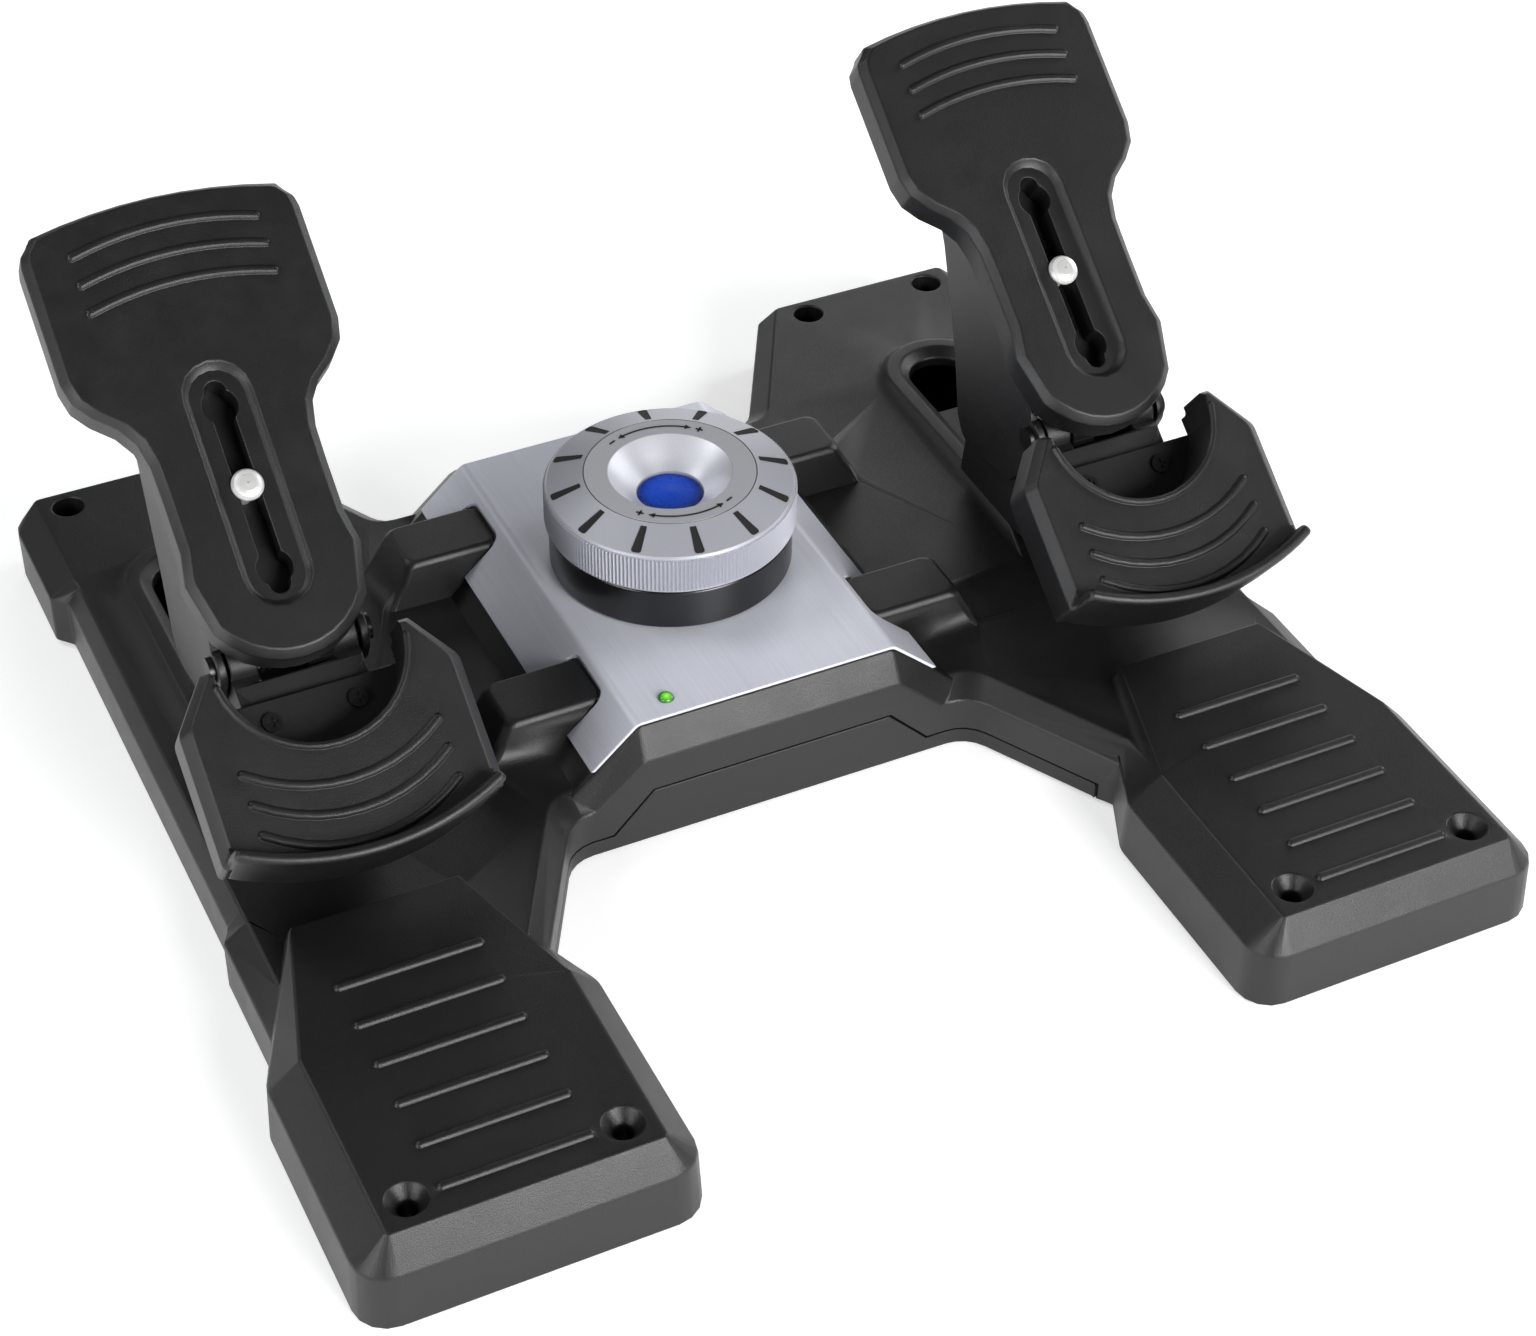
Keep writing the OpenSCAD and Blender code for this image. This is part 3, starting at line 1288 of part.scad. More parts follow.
// The slot runs past the clamp bolt's travel at both ends
slot_past_low = 22.4;
slot_past_high = 21.8;
slot_low = bolt_v - toe_slide - slot_past_low;
slot_high = bolt_v + toe_slide + slot_past_high;
lobe_in = 9;
crown_sag = 5;
crown_in = 5.5;
toe_corner_v = toe_len - crown_sag;
foot_v = 27;
foot_join = 3;
toe_rib_r = 1.8;
toe_rib_radius = 116;
toe_rib_half = 32;
toe_rib_in = 9.5;
toe_rib_first = toe_len - toe_rib_in;
toe_rib_pitch = 10.2;
toe_ribs = 3;
toe_wall = 3.2;
toe_face_t = 4;
toe_stiff_low = 12;
toe_stiff_high = 18;

// Side of the toe plate: [out from the neck's side, v] up the neck, then [in from the head's
// side, down from its corners] along the S-curved shoulder and the head
neck_points = [[0, 41], [0, 60], [0.3, 72], [2.2, 81], [6.5, 87.5]];
head_points = [[6.5, 63.5], [1.8, 57.5], [0, 50], [0, 8], [0.8, 4], [3.6, 0.9]];

// Outline of the toe plate: crown, head, S-curved shoulders, neck and round foot
function crown(half, v, sag, n) = [for (i = [0:n]) let (
    r = (half * half + sag * sag) / (2 * sag), a = asin(half / r) * (1 - 2 * i / n))
    [r * sin(a), v + sag - r + r * cos(a)]];
function toe_side(grow) = concat(
    [for (p = neck_points) [toe_neck_w / 2 + grow + p.x, p.y]],
    [for (p = head_points) [toe_head_w / 2 + grow - p.x, toe_corner_v - p.y]]);
function toe_outline(grow) = let (f = toe_foot_w / 2 + grow, s = toe_side(grow), k = len(s))
    concat([for (i = [0:10]) let (a = -150 + 120 * i / 10)
            [f * cos(a), foot_v + f * sin(a)]],
        [[f, foot_v + foot_join]], s,
        crown(toe_head_w / 2 + grow - crown_in, toe_corner_v + grow * 0.6, crown_sag, 8),
        [for (i = [k - 1:-1:0]) [-s[i].x, s[i].y]], [[-f, foot_v + foot_join]]);
function stadium(half, low, high, n = 8) = [for (i = [0:n]) let (a = 180 * i / n)
        [half * cos(a), high - half + half * sin(a)],
    for (i = [0:n]) let (a = 180 + 180 * i / n) [half * cos(a), low + half + half * sin(a)]];

module toe_plate(side) color(black) on_side(side) toe_frame() {
    for (i = [0:toe_ribs - 1]) translate([0, toe_rib_first - i * toe_rib_pitch - toe_rib_radius, 0])
        ridge(toe_rib_radius, round_top(toe_rib_r, 0.8 * toe_rib_r, 0.5 * toe_rib_r),
            asin(toe_rib_half / toe_rib_radius), 90, toe_rib_r, rib_steps);
    difference() {
        resize([0, 0, 0]) loft([[toe_outline(toe_bevel), -toe_t], [toe_outline(toe_bevel), -toe_bevel],
            [toe_outline(0), 0]]);
        loft([[stadium(recess_half - recess_draft, recess_low + recess_draft,
                recess_high - recess_draft), -recess_d],
            [stadium(recess_half, recess_low, recess_high), 0],
            [stadium(recess_half, recess_low, recess_high), over]]);
        translate([0, 0, -2 * toe_t]) linear_extrude(2 * toe_t) {
            polygon(stadium(slot_narrow, slot_low, slot_high));
            for (v = [slot_low + lobe_in, slot_high - lobe_in]) translate([0, v]) circle(r = lobe_r);
        }
        difference() {
            translate([0, 0, -toe_t - over]) linear_extrude(toe_t - toe_face_t + over)
                polygon(toe_outline(toe_bevel - toe_wall));
            translate([0, 0, -2 * toe_t]) linear_extrude(2 * toe_t)
                polygon(stadium(recess_half + recess_wall, recess_low - recess_wall,
                    recess_high + recess_wall));
            for (v = [recess_high + toe_stiff_low, toe_corner_v - toe_stiff_high])
                block([-toe_head_w, toe_head_w], about(v, stiffener_half), [-toe_t, 0]);
            for (k = [-1:1]) block(about(k * stiffener_pitch, stiffener_half), [recess_high, toe_len],
                [-toe_t, 0]);
        }
    }
}

// Least gap between neighbouring turns of each spring
function turn_gap(length, turns, wire_r) = length / turns - 2 * wire_r;
echo("gap of centring_spring, mm", turn_gap(clip_z - arm_z - hub_h - 2 * (gap + centring_wire),
    centring_turns, centring_wire));
echo("gap of tension_spring, mm", turn_gap(tension_spring_len, tension_turns, spring_wire));
echo("gap of return_spring, mm", turn_gap(return_spring_len, return_turns, return_wire));

// The pedals' nodes by side
module left_carriage() carriage(-1);
module right_carriage() carriage(1);
module left_pedestal() pedestal(-1);
module right_pedestal() pedestal(1);
module left_slot_shield() slot_shield(-1);
module right_slot_shield() slot_shield(1);
module left_heel_cup() heel_cup(-1);
module right_heel_cup() heel_cup(1);
module left_cup_screws() cup_screws(-1);
module right_cup_screws() cup_screws(1);
module left_hinge_pin() hinge_pin(-1);
module right_hinge_pin() hinge_pin(1);
module left_brake_sensor() brake_sensor(-1);
module right_brake_sensor() brake_sensor(1);
module left_return_spring() return_spring(-1);
module right_return_spring() return_spring(1);
module left_brake_lever() brake_lever(-1);
module right_brake_lever() brake_lever(1);
module left_clamp_bolt() clamp_bolt(-1);
module right_clamp_bolt() clamp_bolt(1);
module left_clamp_nut() clamp_nut(-1);
module right_clamp_nut() clamp_nut(1);
module left_toe_plate() toe_plate(-1);
module right_toe_plate() toe_plate(1);

bottom_tray();
top_shell();
silver_cover();
knob_collar();
lamp_lens();
circuit_board();
rudder_sensor();
sensor_bracket();
centring_spring();
pivot_clip();
cable_gland();
shell_screws();
rubber_feet();
drag_pad();
tension_spring();
tension_knob();
knob_cap();
knob_spindle();
tension_nut();
front_link_arm();
front_link_pins();
rear_link_arm();
rear_link_pins();
left_carriage();
left_pedestal();
left_slot_shield();
left_heel_cup();
left_cup_screws();
left_hinge_pin();
left_brake_sensor();
left_return_spring();
left_brake_lever();
left_clamp_bolt();
left_clamp_nut();
left_toe_plate();
right_carriage();
right_pedestal();
right_slot_shield();
right_heel_cup();
right_cup_screws();
right_hinge_pin();
right_brake_sensor();
right_return_spring();
right_brake_lever();
right_clamp_bolt();
right_clamp_nut();
right_toe_plate();
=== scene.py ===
"""Flight simulator rudder pedals: finishes, rounded mouldings and a fine knob for the fixed CAD frame."""
import json
import math

import bpy
from mathutils import Matrix, Vector


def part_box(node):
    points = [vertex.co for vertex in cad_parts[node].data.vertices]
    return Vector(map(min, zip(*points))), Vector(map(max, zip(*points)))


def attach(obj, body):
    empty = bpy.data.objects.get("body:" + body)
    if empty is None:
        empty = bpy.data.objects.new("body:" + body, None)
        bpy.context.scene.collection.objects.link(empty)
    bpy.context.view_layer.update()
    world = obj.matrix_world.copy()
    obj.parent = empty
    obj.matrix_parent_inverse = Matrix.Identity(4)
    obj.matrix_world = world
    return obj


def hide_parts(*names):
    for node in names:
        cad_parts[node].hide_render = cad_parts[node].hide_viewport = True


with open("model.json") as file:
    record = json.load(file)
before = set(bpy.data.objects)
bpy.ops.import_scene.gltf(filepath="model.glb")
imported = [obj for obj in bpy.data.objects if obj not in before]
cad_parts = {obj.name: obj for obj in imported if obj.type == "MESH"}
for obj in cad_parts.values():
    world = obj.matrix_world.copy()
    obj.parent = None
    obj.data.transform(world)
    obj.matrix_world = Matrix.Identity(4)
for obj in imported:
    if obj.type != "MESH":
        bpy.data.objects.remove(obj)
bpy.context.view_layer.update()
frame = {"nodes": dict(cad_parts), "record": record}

BODY_OF = {n: body for body, names in frame["record"]["behaviour"]["bodies"].items() for n in names}
SLOT_OF = {p["node"]: p["material_slot"] for p in frame["record"]["subparts"]}

# Lengths are in millimetres, unless a comment says metres, and times MM they are in metres
MM = 0.001

# Radii of the tension knob
KNOB_R = 46.0      # tips of the teeth round its rim
VALLEY_R = 45.2    # hollows between the teeth
EDGE_R = 44.6      # foot of the cone
RING_R = 31.5      # top of the cone, where the scribed groove starts
DISH_R = 22.7      # edge of the dish
CAP_R = 12.3       # floor of the dish, round the cap
# Heights on the knob, from the top of its solid, and the depth of the dish
EDGE_UP = -0.2
SHOULDER_UP = 0.5
CONE_UP = 5.0
DISH_DEEP = 9.4
# The groove scribed inside the cone, from side to side
GROOVE_SIDE, GROOVE_FLOOR, GROOVE_DEEP = 0.12, 0.22, 0.25
GROOVE_WIDE = 0.46
# The eased edge of the dish, the shares of its width and depth in each slope, and the well round the cap
DISH_EDGE_WIDE, DISH_EDGE_DEEP = 0.3, 0.2
DISH_SLOPES = ((0.48, 0.53), (0.49, 0.45))
WELL_WIDE, WELL_DEEP = 0.1, 1.4
# The toothed rim: its wall, and how far it ends from the knob's foot and from the upper edge
TEETH_WALL = 2.5
TEETH_FROM_FOOT, TEETH_FROM_EDGE = 1.0, 0.5
TEETH = 200
KNOB_SIDES = 160

# The marks of the knob's scale, the first turned from +x by this share of the step between two
MARKS = 12
MARK_SHIFT = 0.65
# Radii of a mark's inner and outer end, and half its width at each
MARK_IN, MARK_OUT = 33.2, 43.9
MARK_HALF_IN, MARK_HALF_OUT = 1.1, 1.85
# Its depth, how far it stands proud of the cone, and the rounding of its outer corners
MARK_DEEP, MARK_PROUD, MARK_CORNER = 1.2, 0.16, 1.1
# The border round its sunk top, and the width and depth of the step down
MARK_BORDER, MARK_STEP, MARK_SUNK = 0.22, 0.1, 0.12

# The sign for less and more on the knob's ring: its radius, a stroke's size, and the radius of a head
SIGN_R = 27.1
SIGN_WIDE, SIGN_DEEP, SIGN_LONG = 0.7, 0.6, 2.8
SIGN_HEAD = 1.5
# Half the angle that its curve spans, and how far past a head the minus or plus stands, in degrees
SIGN_HALF, SIGN_PAST = 27.0, 10.0
SIGN_STEPS = 20
# Where the two signs stand, counted in places of marks
SIGN_PLACES = ((2, "knob_sign_rear"), (8, "knob_sign_front"))

# The bolts of the toe plates: the way their heads face, the crown's height, and radii of the flat inside
# the rim's painted highlight and of the dot of painted shade
TOE_UP = Vector((0.0, -0.602, 0.799)).normalized()
BOLT_CROWN, BOLT_FACE_R, BOLT_SHADE_DOT_R = 0.3, 3.4, 0.5

# The lamp's bright spot: how far it lies in front of the middle, its radius, and where it has faded
LAMP_FORWARD, LAMP_SPOT_R, LAMP_EDGE_R = 0.6, 0.4, 2.4

# Points this close are merged in a copy of a CAD node
MERGE_GAP = 0.02
# An edge that turns more than this is rounded, and one that turns less than the next is shaded smooth
EDGE_TURN, SMOOTH_TURN = 24.0, 32.0
# Edges up to this length stay sharp at a hollow corner
SHORT_EDGE = 4.0
# Faces within this height count as one plane, and planes above this area, in square metres, stay flat
PLANE_STEP, PLANE_LEAST = 0.2, 4e-4
# A face looks along an axis if its normal's part along it is above this
FACING = 0.9
# Two places closer than this, in metres, are level with each other
LEVEL = 1e-6

# The camera at the photograph's viewpoint: its place and clipping in metres, and its angles in degrees
CAMERA_AT = (-0.3701, -0.7811, 0.7656)
CAMERA_TURN, CAMERA_DROP, CAMERA_ROLL = 26.7308, 40.2630, 1.23
NEAR, FAR = 0.05, 30.0
# Its lens, the middle of its view and the photograph's size, in pixels, and the width of its sensor
FOCAL, CENTRE_X, CENTRE_Y = 3135.226, 780.84, 661.906
PHOTO_WIDE, PHOTO_HIGH = 1536.0, 1336.0
SENSOR = 36.0

# The floor's width and its drop below the feet, in metres
FLOOR_WIDE, FLOOR_DROP = 60.0, 0.0002
# Distances from the object between which the floor brightens into the background
FLOOR_NEAR, FLOOR_FAR = 900.0, 4500.0

# Lamps, in metres: name, place, the point that it faces, diameter, watts and colour
WHITE = (1.0, 1.0, 1.0)
COOL = (0.97, 0.98, 1.0)
LAMPS = (
    ("front", (0.6, -2.4, 0.95), (0, -0.1, 0.05), 1.5, 90.0, (1.0, 0.99, 0.98)),
    ("left", (-2.1, -0.8, 0.9), (0, 0, 0.05), 1.2, 30.0, COOL),
    ("right", (2.1, 0.3, 1.0), (0, 0, 0.05), 1.2, 20.0, COOL),
    ("top_left", (-1.4, 1.2, 2.3), (0, 0, 0.05), 1.0, 18.0, WHITE),
    ("rear", (1.5, 2.7, 0.95), (0, 0, 0.05), 1.8, 14.0, WHITE),
)

# The sockets of a Mix node for its factor and two colours, and for the colour that comes out
MIX_INPUTS, MIX_OUTPUT = (0, 6, 7), 2


# Shader nodes
class Sock:
    """A node's output. A sum on it, with numbers or other outputs, adds Math nodes."""

    def __init__(self, shader, out):
        self.shader, self.out = shader, out

    def maths(self, operation, *values):
        return self.shader.node("Math", {"operation": operation}, dict(enumerate(values)))

    def __add__(self, other):
        return self.maths("ADD", self, other)

    def __radd__(self, other):
        return self.maths("ADD", other, self)

    def __sub__(self, other):
        return self.maths("SUBTRACT", self, other)

    def __rsub__(self, other):
        return self.maths("SUBTRACT", other, self)

    def __mul__(self, other):
        return self.maths("MULTIPLY", self, other)

    def __rmul__(self, other):
        return self.maths("MULTIPLY", other, self)

    def __truediv__(self, other):
        return self.maths("DIVIDE", self, other)

    def __pow__(self, other):
        return self.maths("POWER", self, other)

    def __gt__(self, other):
        return self.maths("GREATER_THAN", self, other)

    def __lt__(self, other):
        return self.maths("LESS_THAN", self, other)

    def __abs__(self):
        return self.maths("ABSOLUTE", self)

    def sine(self):
        return self.maths("SINE", self)


class Shader:
    """The nodes of a material or of the world, round its main shader."""

    def __init__(self, owner, main):
        owner.use_nodes = True
        self.tree = owner.node_tree
        self.main = self.tree.nodes[main]

    def plug(self, socket, value):
        """Links an output to a socket, or gives the socket a plain value."""
        if isinstance(value, Sock):
            self.tree.links.new(value.out, socket)
        else:
            socket.default_value = value

    def set(self, name, value):
        self.plug(self.main.inputs[name], value)

    def node(self, kind, settings, sockets, output=0):
        """Adds a node, gives it its settings and then its sockets' values or links."""
        node = self.tree.nodes.new("ShaderNode" + kind)
        for key, value in settings.items():
            setattr(node, key, value)
        for key, value in sockets.items():
            self.plug(node.inputs[key], value)
        return Sock(self, node.outputs[output])


class Mat(Shader):
    """A material with one Principled shader, whose nodes read object coordinates."""

    def __init__(self, name, color, rough, **fixed):
        self.mat = bpy.data.materials.new(name)
        super().__init__(self.mat, "Principled BSDF")
        self.set("Base Color", (*color, 1.0))
        self.set("Roughness", rough)
        for key, value in fixed.items():
            self.set(key.replace("_", " "), value)
        self.coords = self.node("TexCoord", {}, {}, "Object")

    def noise(self, scale, detail=2.0, rough=0.5, vector=None):
        """Cloudy noise from 0 to 1, whose scale counts its lumps in a metre."""
        sockets = {"Vector": vector or self.coords, "Scale": scale, "Detail": detail, "Roughness": rough}
        return self.node("TexNoise", {}, sockets)

    def stretched(self, scale):
        """Object coordinates scaled along each axis, which draws a pattern out in one direction."""
        return self.node("Mapping", {}, {"Vector": self.coords, "Scale": scale})

    def axis(self, index):
        """The object coordinate x, y or z by itself."""
        return self.node("SeparateXYZ", {}, {"Vector": self.coords}, index)

    def radius(self, x, y):
        """Distance in millimetres from an upright axis through x, y."""
        dx, dy = self.axis(0) - x, self.axis(1) - y
        return (dx * dx + dy * dy) ** 0.5 / MM

    def ramp(self, value, low, high):
        """Goes from 0 to 1 as value goes from low to high."""
        return self.node("MapRange", {"clamp": True}, {"Value": value, "From Min": low, "From Max": high})

    def mix(self, factor, first, second):
        """Goes from the first colour to the second as factor goes from 0 to 1."""
        colors = [c if isinstance(c, Sock) else (*c, 1.0) for c in (first, second)]
        sockets = dict(zip(MIX_INPUTS, (factor, *colors)))
        return self.node("Mix", {"data_type": "RGBA"}, sockets, MIX_OUTPUT)

    def bump(self, height, strength, distance):
        """Makes the surface look raised by up to this distance where height is 1."""
        return self.node("Bump", {}, {"Height": height, "Strength": strength, "Distance": distance * MM})


def around(value, noise, spread):
    """A value that strays by up to half the spread to each side as the noise goes from 0 to 1."""
    return value + (noise - 0.5) * spread


def shade(color, share):
    """A colour made darker or lighter."""
    return tuple(c * share for c in color)


def middle_of(box):
    """The middle of a box as seen from above."""
    low, high = box
    return (low[0] + high[0]) / 2, (low[1] + high[1]) / 2


# Finishes
def moulded(name, dark, light, rough, grain, strength):
    """Textured moulded plastic: fine spark-eroded grain, faint dust and rubbed patches."""
    m = Mat(name, dark, rough, Specular_IOR_Level=0.52)
    fine = m.noise(grain, detail=3.0, rough=0.6)
    broad = m.noise(16.0, detail=4.0, rough=0.55)
    patch = m.noise(70.0, detail=5.0, rough=0.6)
    dust = m.ramp(broad, 0.42, 0.75) * m.ramp(patch, 0.35, 0.8)
    m.set("Base Color", m.mix(dust * 0.35, dark, light))
    m.set("Roughness", around(rough, patch, 0.12) + dust * 0.06)
    m.set("Normal", m.bump(fine, strength, distance=0.4))
    return m.mat


def metal(name, color, rough, grain, stretch=(1.0, 1.0, 1.0)):
    """Drawn or plated metal with fine grain along one direction and uneven shine."""
    m = Mat(name, color, rough, Metallic=1.0)
    fine = m.noise(grain, detail=4.0, rough=0.65, vector=m.stretched(stretch))
    broad = m.noise(30.0, detail=3.0)
    m.set("Base Color", m.mix(m.ramp(broad, 0.3, 0.75), shade(color, 0.9), color))
    m.set("Roughness", around(around(rough, fine, 0.18), broad, 0.1))
    m.set("Normal", m.bump(fine, strength=0.12, distance=0.3))
    return m.mat


def brushed_sheet(name, color, rough):
    """Silver sheet brushed from front to rear, with faint cloudy patches."""
    m = Mat(name, color, rough, Metallic=0.25)
    hair = m.noise(900.0, detail=4.0, rough=0.7, vector=m.stretched((1.0, 0.02, 1.0)))
    cloud = m.noise(14.0, detail=3.0)
    bright = m.ramp(hair, 0.3, 0.72) * 0.5 + m.ramp(cloud, 0.3, 0.75) * 0.5
    m.set("Base Color", m.mix(bright, shade(color, 0.88), shade(color, 1.06)))
    m.set("Roughness", around(rough, hair, 0.25))
    m.set("Normal", m.bump(hair, strength=0.16, distance=0.2))
    return m.mat


def turned_knob(name, dish, face, cone):
    """Satin silver turned on a lathe: bright dish, grey ring, scribed groove darkened with painted shade,
    lighter cone and rim.
    """
    m = Mat(name, face, rough=0.34, Metallic=0.5)
    r = m.radius(*middle_of(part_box("tension_knob")))
    speckle = m.noise(2200.0)
    in_dish, on_cone = r < DISH_R - 0.2, r > RING_R - 0.1
    # The scribed groove is painted dark, as painted shade in the recess
    groove_shade = abs(r - (RING_R - GROOVE_WIDE / 2)) < 0.22
    color = m.mix(groove_shade, m.mix(in_dish, m.mix(on_cone, face, cone), dish), shade(face, 0.3))
    m.set("Base Color", m.mix(m.ramp(speckle, 0.3, 0.75) * 0.12, color, (0.2, 0.21, 0.24)))
    m.set("Metallic", in_dish * 0.1 + 0.45)
    m.set("Roughness", around(0.44 - in_dish * 0.04, speckle, 0.08))
    m.set("Normal", m.bump((r * 8.0).sine(), strength=0.04, distance=0.1))
    return m.mat


def cap_blue(name, color, deep):
    """Glossy translucent blue plastic, deeper towards its edge."""
    m = Mat(name, color, rough=0.26, Specular_IOR_Level=0.35)
    r = m.radius(*middle_of(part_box("knob_cap")))
    m.set("Base Color", m.mix(m.ramp(r, 8.0, 12.0), color, deep))
    m.set("Roughness", 0.24 + m.noise(500.0, detail=3.0) * 0.08)
    m.set("Normal", m.bump(m.noise(240.0), strength=0.03, distance=0.2))
    return m.mat


def lamp_lens(name):
    """Green lens of the indicator lamp, with facets and a bright spot that fades to its edge."""
    m = Mat(name, (0.05, 0.38, 0.02), rough=0.15, Coat_Weight=0.5, Emission_Strength=0.5)
    x, y = middle_of(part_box("lamp_lens"))
    fade = m.ramp(m.radius(x, y - LAMP_FORWARD * MM), LAMP_SPOT_R, LAMP_EDGE_R)
    facets = m.node("TexVoronoi", {}, {"Vector": m.coords, "Scale": 900.0})
    m.set("Base Color", m.mix(fade, (0.12, 0.55, 0.03), (0.01, 0.09, 0.01)))
    m.set("Emission Color", m.mix(fade, (0.35, 0.9, 0.08), (0.01, 0.12, 0.0)))
    m.set("Normal", m.bump(facets, strength=0.3, distance=0.4))
    return m.mat


def crown_middle(bolt, up):
    """The middle of the crown of a bolt's head, which faces up."""
    points = [v.co for v in frame["nodes"][bolt].data.vertices]
    top = max(co.dot(up) for co in points)
    crown = [co for co in points if co.dot(up) > top - BOLT_CROWN * MM]
    return sum(crown, Vector()) / len(crown)


def bolt_head(name, rim, face, up):
    """White plated bolt of a toe plate: a painted highlight on its rim round a duller flat, with a dot of
    painted shade in its middle.
    """
    centre = crown_middle("right_clamp_bolt", up)
    m = Mat(name, face, rough=0.34, Metallic=0.45)
    dx, dy, dz = abs(m.axis(0)) - centre.x, m.axis(1) - centre.y, m.axis(2) - centre.z
    along = dy * up.y + dz * up.z
    r = abs(dx * dx + dy * dy + dz * dz - along * along) ** 0.5 / MM
    # The rim is made lighter than the flat as a painted highlight
    color = m.mix(m.ramp(r, BOLT_FACE_R - 0.3, BOLT_FACE_R + 0.1), face, rim)
    # The dark dot in the middle is painted shade, where a socket's hollow would be
    m.set("Base Color", m.mix(m.ramp(r, BOLT_SHADE_DOT_R / 2, BOLT_SHADE_DOT_R), shade(face, 0.6), color))
    m.set("Roughness", around(0.34, m.noise(900.0, detail=4.0, rough=0.65), 0.18))
    step = m.ramp(r, BOLT_FACE_R - 0.2, BOLT_FACE_R + 0.2)
    m.set("Normal", m.bump(step, strength=0.5, distance=0.3))
    return m.mat


def rubbery(name, dark, light):
    """Dull black rubber, a little chalky in patches."""
    m = Mat(name, dark, rough=0.8)
    m.set("Base Color", m.mix(m.ramp(m.noise(90.0, detail=4.0), 0.4, 0.8), dark, light))
    m.set("Normal", m.bump(m.noise(1400.0), strength=0.2, distance=0.3))
    return m.mat


def board(name, green, deep, track):
    """Solder mask of a circuit board with pale tracks."""
    m = Mat(name, green, rough=0.35, Coat_Weight=0.4)
    colors = {"Color1": (*green, 1.0), "Color2": (*deep, 1.0), "Mortar": (*track, 1.0)}
    sockets = {"Vector": m.coords, "Scale": 160.0, "Mortar Size": 0.03, **colors}
    m.set("Base Color", m.node("TexBrick", {}, sockets))
    m.set("Normal", m.bump(m.noise(700.0), strength=0.1, distance=0.2))
    return m.mat


MATS = {
    "black_shell": moulded("black_shell", (0.0055, 0.0055, 0.006), (0.013, 0.0135, 0.0145),
                           rough=0.4, grain=2600.0, strength=0.3),
    "black_tray": moulded("black_tray", (0.006, 0.006, 0.0065), (0.013, 0.0135, 0.0145),
                          rough=0.46, grain=2400.0, strength=0.3),
    "black_gloss": moulded("black_gloss", (0.006, 0.006, 0.0065), (0.012, 0.012, 0.013),
                           rough=0.22, grain=1800.0, strength=0.08),
    "black_steel": metal("black_steel", (0.05, 0.05, 0.052), rough=0.36, grain=900.0),
    "silver_sheet": brushed_sheet("silver_sheet", (0.72, 0.74, 0.82), rough=0.4),
    "silver_plastic": turned_knob("silver_plastic", dish=(0.72, 0.73, 0.78), face=(0.44, 0.45, 0.48),
                                  cone=(0.47, 0.48, 0.53)),
    "lamp_green": lamp_lens("lamp_green"),
    "board_green": board("board_green", green=(0.02, 0.16, 0.07), deep=(0.02, 0.13, 0.06),
                         track=(0.05, 0.3, 0.12)),
    "zinc_steel": metal("zinc_steel", (0.55, 0.56, 0.58), rough=0.34, grain=900.0, stretch=(1.0, 8.0, 8.0)),
    "spring_steel": metal("spring_steel", (0.42, 0.42, 0.44), rough=0.28, grain=1200.0),
    "rubber": rubbery("rubber", dark=(0.014, 0.014, 0.014), light=(0.0338, 0.0338, 0.0338)),
    "blue_cap": cap_blue("blue_cap", (0.004, 0.075, 0.66), deep=(0.002, 0.015, 0.22)),
    "white_bolt": bolt_head("white_bolt", rim=(0.8, 0.8, 0.79), face=(0.66, 0.66, 0.65), up=TOE_UP),
}
mark_black = moulded("mark_black", (0.006, 0.006, 0.0065), (0.014, 0.014, 0.015),
                     rough=0.75, grain=1800.0, strength=0.2)

for node, slot in SLOT_OF.items():
    for held in frame["nodes"][node].material_slots:
        held.material = MATS[slot]


# Tools for modelling
def only(piece):
    """Makes this piece the one selected and active object."""
    bpy.ops.object.select_all(action="DESELECT")
    piece.select_set(True)
    bpy.context.view_layer.objects.active = piece


def in_scene(name, data):
    """A new object of the scene that shows this data."""
    obj = bpy.data.objects.new(name, data)
    bpy.context.collection.objects.link(obj)
    return obj


def edit(step, **settings):
    """Runs one modelling step on the active object in edit mode."""
    bpy.ops.object.mode_set(mode="EDIT")
    step(**settings)
    bpy.ops.object.mode_set(mode="OBJECT")


def modify(kind, **settings):
    """Adds a modifier to the active object and applies it."""
    mod = bpy.context.object.modifiers.new(kind, kind)
    for key, value in settings.items():
        setattr(mod, key, value)
    bpy.ops.object.modifier_apply(modifier=mod.name)


def pick(mesh, test, kind="polygons"):
    """Selects the faces, edges or vertices that pass a test, and nothing else."""
    kinds = ("vertices", "edges", "polygons")
    bpy.context.tool_settings.mesh_select_mode = [k == kind for k in kinds]
    for each in kinds:
        items = getattr(mesh, each)
        items.foreach_set("select", [False] * len(items))
    for item in getattr(mesh, kind):
        item.select = test(item)


def faces_up(face):
    return face.normal.z > FACING


def joined(first, others):
    """Joins other pieces into the first."""
    only(first)
    for piece in others:
        piece.select_set(True)
    bpy.ops.object.join()
    return first


def finish(piece, name, body, slot, smooth=30.0, paint=None):
    """Names a modelled piece, applies its place, and gives it its body and finish."""
    piece.name = piece.data.name = name
    only(piece)
    bpy.ops.object.transform_apply(location=True, rotation=True, scale=True)
    bpy.ops.object.shade_smooth_by_angle(angle=math.radians(smooth))
    piece.data.materials.clear()
    piece.data.materials.append(paint or MATS[slot])
    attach(piece, body)


